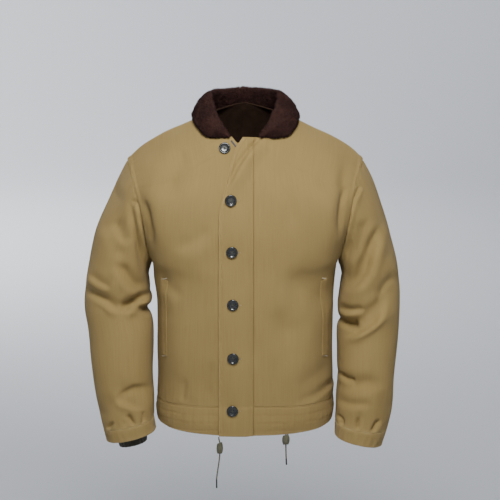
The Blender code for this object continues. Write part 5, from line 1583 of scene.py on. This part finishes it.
def stitch_tree():
    """A short rounded stitch at even steps along each line."""
    inputs = {
        "Lines": ("NodeSocketGeometry", None),
        "Step": ("NodeSocketFloat", STITCH_STEP),
        "Stitch length": ("NodeSocketFloat", STITCH_LENGTH),
        "Thickness": ("NodeSocketFloat", STITCH_THICK),
    }
    nodes = {
        "curve": ("GeometryNodeMeshToCurve", {}),
        "even": ("GeometryNodeResampleCurve", {"mode": "LENGTH"}),
        "along": ("GeometryNodeInputTangent", {}),
        "turn": ("FunctionNodeAlignRotationToVector", {"axis": "Z"}),
        "size": ("ShaderNodeCombineXYZ", {}),
        "stitch": ("GeometryNodeMeshUVSphere", {"Segments": 6, "Rings": 4, "Radius": 0.5}),
        "place": ("GeometryNodeInstanceOnPoints", {}),
        "real": ("GeometryNodeRealizeInstances", {}),
        "finish": ("GeometryNodeSetMaterial", {"Material": finishes["thread"]}),
    }
    links = (
        "given.Lines > curve.Mesh",
        "curve.Curve > even.Curve",
        "given.Step > even.Length",
        "along.Tangent > turn.Vector",
        "given.Thickness > size.X",
        "given.Thickness > size.Y",
        "given.Stitch length > size.Z",
        "even.Curve > place.Points",
        "stitch.Mesh > place.Instance",
        "turn.Rotation > place.Rotation",
        "size.Vector > place.Scale",
        "place.Instances > real.Geometry",
        "real.Geometry > finish.Geometry",
        "finish.Geometry > result.Stitches",
    )
    return shape_tree("stitches", inputs, "Stitches", nodes, links)


def lines_object(name, lines):
    """Open lines of points as one object of edges."""
    verts, edges = [], []
    for line in lines:
        first = len(verts)
        verts += [tuple(point) for point in line]
        edges += [(first + k, first + k + 1) for k in range(len(line) - 1)]
    data = bpy.data.meshes.new(name)
    data.from_pydata(verts, edges, [])
    return linked_object(name, data)


def line_beside(grid, edge, distance, rows=slice(None)):
    """The line that keeps a distance from one edge of a grid: left, right, bottom or top."""
    outer, run = grid["outer"], grid[edge]
    if edge in ("bottom", "top"):
        outer, run = np.swapaxes(outer, 0, 1), run.T
    line = []
    for points, gone in zip(outer[rows], run[rows], strict=True):
        if edge in ("right", "top"):
            points, gone = points[::-1], gone[::-1]
        line.append([np.interp(distance, gone, points[:, k]) for k in range(3)])
    return np.array(line)


def lifted(line, middle=(0.0, 0.0, 0.0)):
    """The line moved a little outwards, away from the middle of what it goes round."""
    away = line - np.array(middle)
    away[:, 2] = 0.0
    return line + unit(away) * STITCH_LIFT


def ring_line(grid, edge, distance):
    line = line_beside(grid, edge, distance)
    return np.concatenate([line, line[:1]])


def stitch_lines(body, bands, flap, cuffs):
    """Every row of stitches, by the piece of cloth that it is sewn through."""
    flap_rows = [line_beside(flap, "left", FLAP_ROWS[0]), line_beside(flap, "left", FLAP_ROWS[1])]
    flap_rows.append(line_beside(flap, "right", SEAM_ROW))
    body_rows = []
    for name in ("front_right", "front_left", "back_right", "back_left"):
        at_arm = body[name]["levels"] > UNDERARM_V
        body_rows += [line_beside(body[name], "right", gap, at_arm) for gap in ARM_ROWS]
    left = body["front_left"]
    body_rows.append(line_beside(left, "left", FLY_SEAM_ROW, left["levels"] < 0.82))
    for grid in (body["back_right"], body["back_left"]):
        body_rows.append(line_beside(grid, "top", SEAM_ROW)[2:])
        body_rows.append(line_beside(grid, "right", SEAM_ROW, grid["levels"] < 0.395))
    hem_rows = [line_beside(grid, "bottom", down) for grid in bands.values() for down in BAND_STITCHES]
    hem_rows += [line_beside(bands["hem_band_left"], "left", run)[4:-4] for run in BAND_JOINS]
    cuff_rows = []
    for grid in cuffs:
        middle = grid["outer"].reshape(-1, 3).mean(axis=0)
        cuff_rows += [lifted(ring_line(grid, "top", gap), middle) for gap in CUFF_ROWS]
    welt_rows = [line_beside(grid, "left", gap) for grid in welts.values() for gap in WELT_ROWS]
    return {
        "flap_stitches": flap_rows,
        "seam_stitches": [lifted(line) for line in body_rows],
        "hem_stitches": [lifted(line) for line in hem_rows],
        "cuff_stitches": cuff_rows,
        "welt_stitches": [lifted(line) for line in welt_rows],
    }


def body_place(side, x, z, rise):
    """A point on a front and its normal, x from the middle plane at height z."""
    folds = RIGHT_FRONT_FOLDS if side < 0 else LEFT_FRONT_FOLDS
    creases = RIGHT_FRONT_CREASES if side < 0 else LEFT_FRONT_CREASES
    v = v_at_height("front", abs(x), z)
    u = u_at("front", abs(x), v)
    point = body_points("front", side, u, v, np.array(rise), folds, side > 0)
    normal = mirrored(body_normals("front", u, v), side)
    more = float(ripple(point)) + float(crease_height(creases, point[:1], point[2:])[0])
    return point + normal * more, normal


def zigzag(start, end, width, normal, count):
    """Close threads across a short bar from start to end, as one line."""
    across = unit(np.cross(normal, unit(end - start))) * 0.5 * width
    steps = [(k / count, 1 if k % 2 else -1) for k in range(count + 1)]
    return np.array([start + (end - start) * share + across * way for share, way in steps])


def make_threads(name, lines, thickness):
    """Thin round cream threads along lines of points, as one piece."""
    mesh = bmesh.new()
    for line in lines:
        add_tube(mesh, line, lambda share, angle: 0.5 * thickness, 5)
    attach(placed(name, as_data(mesh, name, finishes["cream"])), "root")


def make_tacks():
    """Bar tacks at the pocket ends and worked buttonholes beside the buttons."""
    tacks = []
    for side in (-1, 1):
        for z in (WELT_TOP_Z + 0.003, WELT_BOTTOM_Z - 0.002):
            rise = WELT_CLEAR + WELT_THICK * 0.35
            start, normal = body_place(side, WELT_INNER_X + TACK_INSET, z + TACK_TILT, rise)
            end, _ = body_place(side, WELT_OUTER_X - TACK_INSET, z - TACK_TILT, rise)
            tacks.append(zigzag(start, end, TACK_WIDTH, normal, 22))
    make_threads("pocket_tacks", tacks, 0.0007)
    holes = []
    for name in list(BUTTONS)[1:]:
        foot, normal = button_seat(name)
        right = unit(np.cross([0.0, 0.0, 1.0], normal))
        right = right if right[0] > 0 else -right
        start, end = (foot + right * run + normal * 0.0001 for run in BUTTONHOLE_RUN)
        holes.append(zigzag(start, end, BUTTONHOLE_WIDTH, normal, 14))
    make_threads("buttonhole_threads", holes, 0.0008)


# ---------------------------------------------------------------- finishes


def linked_value(tree, socket, value):
    """Sets a node's input to a number or colour, or links it to a socket."""
    if isinstance(value, bpy.types.NodeSocket):
        tree.links.new(value, socket)
    else:
        socket.default_value = (*value, 1.0) if isinstance(value, tuple) else value


def maths(tree, operation, *values):
    """A math node; values are numbers or sockets."""
    made = tree.nodes.new("ShaderNodeMath")
    made.operation = operation
    for socket, value in zip(made.inputs, values, strict=False):
        linked_value(tree, socket, value)
    return made.outputs[0]


def held_in(tree, value):
    """A value kept between 0 and 1."""
    return maths(tree, "MINIMUM", maths(tree, "MAXIMUM", value, 0.0), 1.0)


def speckle(tree, place, scale, detail=2.0, stretch=(1.0, 1.0, 1.0)):
    """Soft noise at a scale per metre, drawn out by the stretch."""
    mapping = tree.nodes.new("ShaderNodeMapping")
    mapping.inputs["Scale"].default_value = stretch
    tree.links.new(place, mapping.inputs["Vector"])
    made = tree.nodes.new("ShaderNodeTexNoise")
    made.inputs["Scale"].default_value = scale
    made.inputs["Detail"].default_value = detail
    tree.links.new(mapping.outputs["Vector"], made.inputs["Vector"])
    return made.outputs["Fac"]


def blend(tree, share, low, high):
    """A colour mix; share, low and high are values or sockets."""
    made = tree.nodes.new("ShaderNodeMix")
    made.data_type = "RGBA"
    for place, value in ((0, share), (6, low), (7, high)):
        linked_value(tree, made.inputs[place], value)
    return made.outputs[2]


def cord_lines_group():
    """Upright cords of a ribbed cloth: their height, and streaks that run with them."""
    kinds = {
        "Place": ("NodeSocketVector", None),
        "Spacing": ("NodeSocketFloat", 0.0018),
        "Waver": ("NodeSocketFloat", 0.0004),
    }
    outputs = {"Height": "NodeSocketFloat", "Streak": "NodeSocketFloat"}
    tree, given, result = node_group("ShaderNodeTree", "cord_lines", kinds, outputs)
    split = tree.nodes.new("ShaderNodeSeparateXYZ")
    tree.links.new(given.outputs["Place"], split.inputs[0])
    sway = speckle(tree, given.outputs["Place"], 22.0)
    shift = maths(tree, "MULTIPLY", maths(tree, "SUBTRACT", sway, 0.5), given.outputs["Waver"])
    across = maths(tree, "ADD", split.outputs["X"], shift)
    turn = maths(tree, "MULTIPLY", maths(tree, "DIVIDE", across, given.outputs["Spacing"]), 2 * math.pi)
    ridge = maths(tree, "MULTIPLY_ADD", maths(tree, "SINE", turn), 0.5, 0.5)
    tree.links.new(ridge, result.inputs["Height"])
    thin = speckle(tree, given.outputs["Place"], 1.0, 3.0, (560.0, 16.0, 1.0))
    wide = speckle(tree, given.outputs["Place"], 1.0, 2.0, (120.0, 5.0, 1.0))
    streak = maths(tree, "MULTIPLY_ADD", thin, 0.75, maths(tree, "MULTIPLY", wide, 0.25))
    tree.links.new(streak, result.inputs["Streak"])
    return tree


def cloth_colour_and_cord_shade_group():
    """A dyed cloth's colour: darker in the hollows between its cords as painted shade, faded in patches and
    along its worn edges.
    """
    kinds = {
        "Place": ("NodeSocketVector", None),
        "Deep": ("NodeSocketColor", (*COTTON_DEEP, 1.0)),
        "Face": ("NodeSocketColor", (*COTTON_FACE, 1.0)),
        "Faded": ("NodeSocketColor", (*COTTON_WORN, 1.0)),
        "Ridge": ("NodeSocketFloat", 0.5),
        "Streak": ("NodeSocketFloat", 0.5),
        "Worn": ("NodeSocketFloat", 0.0),
    }
    outputs = {"Colour": "NodeSocketColor"}
    tree, given, result = node_group("ShaderNodeTree", "cloth_colour_and_cord_shade", kinds, outputs)
    patches = speckle(tree, given.outputs["Place"], 9.0, 3.0)
    rough = speckle(tree, given.outputs["Place"], 60.0, 3.0)
    # Painted shade: the cloth is made darker in the hollows between its cords
    ridge = maths(tree, "MULTIPLY", given.outputs["Ridge"], 0.16)
    depth = maths(tree, "MULTIPLY_ADD", given.outputs["Streak"], 0.75, ridge)
    depth = maths(tree, "ADD", depth, maths(tree, "MULTIPLY_ADD", patches, 0.55, -0.06))
    base = blend(tree, held_in(tree, depth), given.outputs["Deep"], given.outputs["Face"])
    worn = maths(tree, "MULTIPLY", given.outputs["Worn"], maths(tree, "MULTIPLY_ADD", rough, 1.6, -0.25))
    tree.links.new(blend(tree, held_in(tree, worn), base, given.outputs["Faded"]), result.inputs["Colour"])
    return tree


def finish_of(name, roughness, **shader_values):
    """A material with its Principled shader set; returns it with its tree and shader."""
    made = bpy.data.materials.new(name)
    made.use_nodes = True
    shader = made.node_tree.nodes["Principled BSDF"]
    shader.inputs["Roughness"].default_value = roughness
    for label, value in shader_values.items():
        shader.inputs[label.replace("_", " ")].default_value = value
    return made, made.node_tree, shader


def bump(tree, shader, height, distance, strength=1.0):
    made = tree.nodes.new("ShaderNodeBump")
    made.inputs["Strength"].default_value = strength
    made.inputs["Distance"].default_value = distance
    tree.links.new(height, made.inputs["Height"])
    tree.links.new(made.outputs["Normal"], shader.inputs["Normal"])


def cloth_uv(tree):
    made = tree.nodes.new("ShaderNodeUVMap")
    made.uv_map = "cloth"
    return made.outputs["UV"]


def own_place(tree):
    return tree.nodes.new("ShaderNodeTexCoord").outputs["Object"]


def corded_cotton(lines, colours):
    """Khaki cotton with fine upright cords, a dull sheen and lighter, rubbed edges."""
    dull = {"Sheen_Weight": 0.03, "Sheen_Roughness": 0.45, "Specular_IOR_Level": 0.25}
    made, tree, shader = finish_of("corded_cotton", 0.9, **dull)
    place = cloth_uv(tree)
    cords, colour = tree.nodes.new("ShaderNodeGroup"), tree.nodes.new("ShaderNodeGroup")
    cords.node_tree, colour.node_tree = lines, colours
    worn = tree.nodes.new("ShaderNodeAttribute")
    worn.attribute_name = "worn"
    tree.links.new(place, cords.inputs["Place"])
    tree.links.new(own_place(tree), colour.inputs["Place"])
    tree.links.new(cords.outputs["Height"], colour.inputs["Ridge"])
    tree.links.new(cords.outputs["Streak"], colour.inputs["Streak"])
    tree.links.new(worn.outputs["Fac"], colour.inputs["Worn"])
    tree.links.new(colour.outputs["Colour"], shader.inputs["Base Color"])
    weave = speckle(tree, place, 1400.0, 2.0)
    height = maths(tree, "MULTIPLY_ADD", weave, 0.35, cords.outputs["Height"])
    bump(tree, shader, height, 0.00045, 0.7)
    return made


def simple_cloth(name, low, high, scale, bump_height, roughness, **shader_values):
    """A finish that varies softly between two colours, with a fine rough surface."""
    made, tree, shader = finish_of(name, roughness, **shader_values)
    place = own_place(tree)
    grain = speckle(tree, place, scale, 4.0)
    patches = speckle(tree, place, scale * 0.12, 2.0)
    share = maths(tree, "MULTIPLY_ADD", grain, 0.8, maths(tree, "MULTIPLY_ADD", patches, 0.8, -0.35))
    tree.links.new(blend(tree, held_in(tree, share), low, high), shader.inputs["Base Color"])
    bump(tree, shader, grain, bump_height)
    return made


def toned(colour, tone):
    return tuple(tone * value for value in colour)


def dark_and_light(colour):
    return toned(colour, 0.5), toned(colour, 1.5)


def olive_knit(lines):
    """Dark ribbed knit with its small stitches."""
    made, tree, shader = finish_of("olive_knit", 0.9, Sheen_Weight=0.15)
    place = cloth_uv(tree)
    cords = tree.nodes.new("ShaderNodeGroup")
    cords.node_tree = lines
    cords.inputs["Spacing"].default_value = 0.0016
    tree.links.new(place, cords.inputs["Place"])
    colour = blend(tree, cords.outputs["Streak"], toned(KNIT_OLIVE, 0.45), toned(KNIT_OLIVE, 1.6))
    tree.links.new(colour, shader.inputs["Base Color"])
    loops = speckle(tree, place, 1.0, 1.0, (700.0, 500.0, 1.0))
    bump(tree, shader, maths(tree, "ADD", cords.outputs["Height"], loops), 0.0006)
    return made


def make_finishes():
    """All finishes, by their use. Plain ones: name, two colours, scale, bump height, roughness, the rest."""
    lines = cord_lines_group()
    finishes["cotton"] = corded_cotton(lines, cloth_colour_and_cord_shade_group())
    finishes["knit"] = olive_knit(lines)
    for use, (name, low, high, scale, height, roughness, more) in {
        "nap": ("brown_nap", *dark_and_light(NAP_BROWN), 500.0, 0.0012, 0.95, {"Specular_IOR_Level": 0.05}),
        "pile": ("brown_pile", PILE_DARK, PILE_LIGHT, 330.0, 0.0006, 0.9, {"Specular_IOR_Level": 0.2}),
        "horn": ("dark_button", *dark_and_light(BUTTON_BLACK), 300.0, 0.00004, 0.24, {"Coat_Weight": 0.35}),
        "button_thread": ("button_thread", *BUTTON_THREAD_TONES, 900.0, 0.0002, 0.95, {}),
        "metal": ("dark_zip", *ZIP_TONES, 500.0, 0.0002, 0.5, {"Metallic": 0.4}),
        "cord": ("olive_cord", *dark_and_light(CORD_OLIVE), 1100.0, 0.0004, 0.85, {}),
        "tip": ("dark_tip", *TIP_TONES, 400.0, 0.0001, 0.4, {}),
        "thread": ("khaki_thread", toned(THREAD_KHAKI, 0.5), THREAD_KHAKI, 800.0, 0.0002, 0.8, {}),
        "cream": ("cream_thread", toned(THREAD_CREAM, 0.5), THREAD_CREAM, 800.0, 0.0002, 0.8, {}),
    }.items():
        finishes[use] = simple_cloth(name, low, high, scale, height, roughness, **more)


# ---------------------------------------------------------------- camera, light and floor


def make_camera():
    data = bpy.data.cameras.new("camera")
    data.lens, data.sensor_width = LENS_MM, SENSOR_MM
    data.sensor_fit = "HORIZONTAL"
    camera = linked_object("camera", data)
    rise = math.radians(CAMERA_RISE_DEG)
    away = Vector((0.0, -math.cos(rise), math.sin(rise))) * CAMERA_DISTANCE
    camera.location = Vector(CAMERA_TARGET) + away
    camera.rotation_euler = away.to_track_quat("Z", "Y").to_euler()
    bpy.context.scene.camera = camera


def soft_light(name, place, size, power, towards):
    data = bpy.data.lights.new(name, "AREA")
    data.shape = "RECTANGLE"
    data.size, data.size_y = size
    data.energy = power
    lamp = linked_object(name, data)
    lamp.location = place
    lamp.rotation_euler = (Vector(place) - Vector(towards)).to_track_quat("Z", "Y").to_euler()


def make_studio():
    """A round pale floor that turns up into a wall all round, and soft lights inside it."""
    profile = [(0.0, FLOOR_Z), (STUDIO_FLAT, FLOOR_Z)]
    for turn in np.linspace(0.0, 0.5 * math.pi, 13)[1:]:
        up = STUDIO_COVE * (1 - math.cos(turn))
        profile.append((STUDIO_FLAT + STUDIO_COVE * math.sin(turn), FLOOR_Z + up))
    profile.append((STUDIO_FLAT + STUDIO_COVE, FLOOR_Z + STUDIO_HEIGHT))
    paper, tree, shader = finish_of("studio_paper", 0.9)
    tone = speckle(tree, own_place(tree), 0.35, 1.0)
    tree.links.new(blend(tree, tone, PAPER_LOW, PAPER_HIGH), shader.inputs["Base Color"])
    placed("studio", as_data(turned(profile, 96), "studio", paper))
    world = bpy.data.worlds.new("studio_air")
    world.use_nodes = True
    back = world.node_tree.nodes["Background"]
    back.inputs["Color"].default_value = (*AIR_COLOUR, 1.0)
    back.inputs["Strength"].default_value = WORLD_STRENGTH
    bpy.context.scene.world = world
    for name, values in LIGHTS.items():
        soft_light(name, *values)


# ---------------------------------------------------------------- all together


def main():
    make_camera()
    make_finishes()
    make_drawstring()
    body, bands, flap = make_body(), make_hem_bands(), make_flap()
    make_welts()
    cuffs = []
    for word, side, table, folds, creases, body_folds, edge, last in (
        (
            *("right", -1, RIGHT_SLEEVE, RIGHT_SLEEVE_FOLDS, RIGHT_SLEEVE_CREASES),
            *(RIGHT_FRONT_FOLDS, RIGHT_CUFF_EDGE, KNIT_LEVELS[3][1]),
        ),
        (
            *("left", 1, LEFT_SLEEVE, LEFT_SLEEVE_FOLDS, LEFT_SLEEVE_CREASES),
            *(LEFT_FRONT_FOLDS, LEFT_CUFF_EDGE, KNIT_LEVELS[2][1]),
        ),
    ):
        make_sleeve(f"sleeve_{word}", table, folds, creases, body_folds, side)
        cuffs.append(make_cuff(f"cuff_{word}", table, edge, side))
        make_knit_cuff(f"knit_cuff_{word}", table, edge, side, last)
    make_collar()
    make_buttons()
    make_zip_end()
    tree = stitch_tree()
    for name, lines in stitch_lines(body, bands, flap, cuffs).items():
        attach(with_nodes(lines_object(name + "_lines", lines), tree, name, Step=STITCH_STEP), "root")
    make_tacks()
    for node, made in pieces.items():
        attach(made, "root")
        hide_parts(node)
    make_studio()


main()
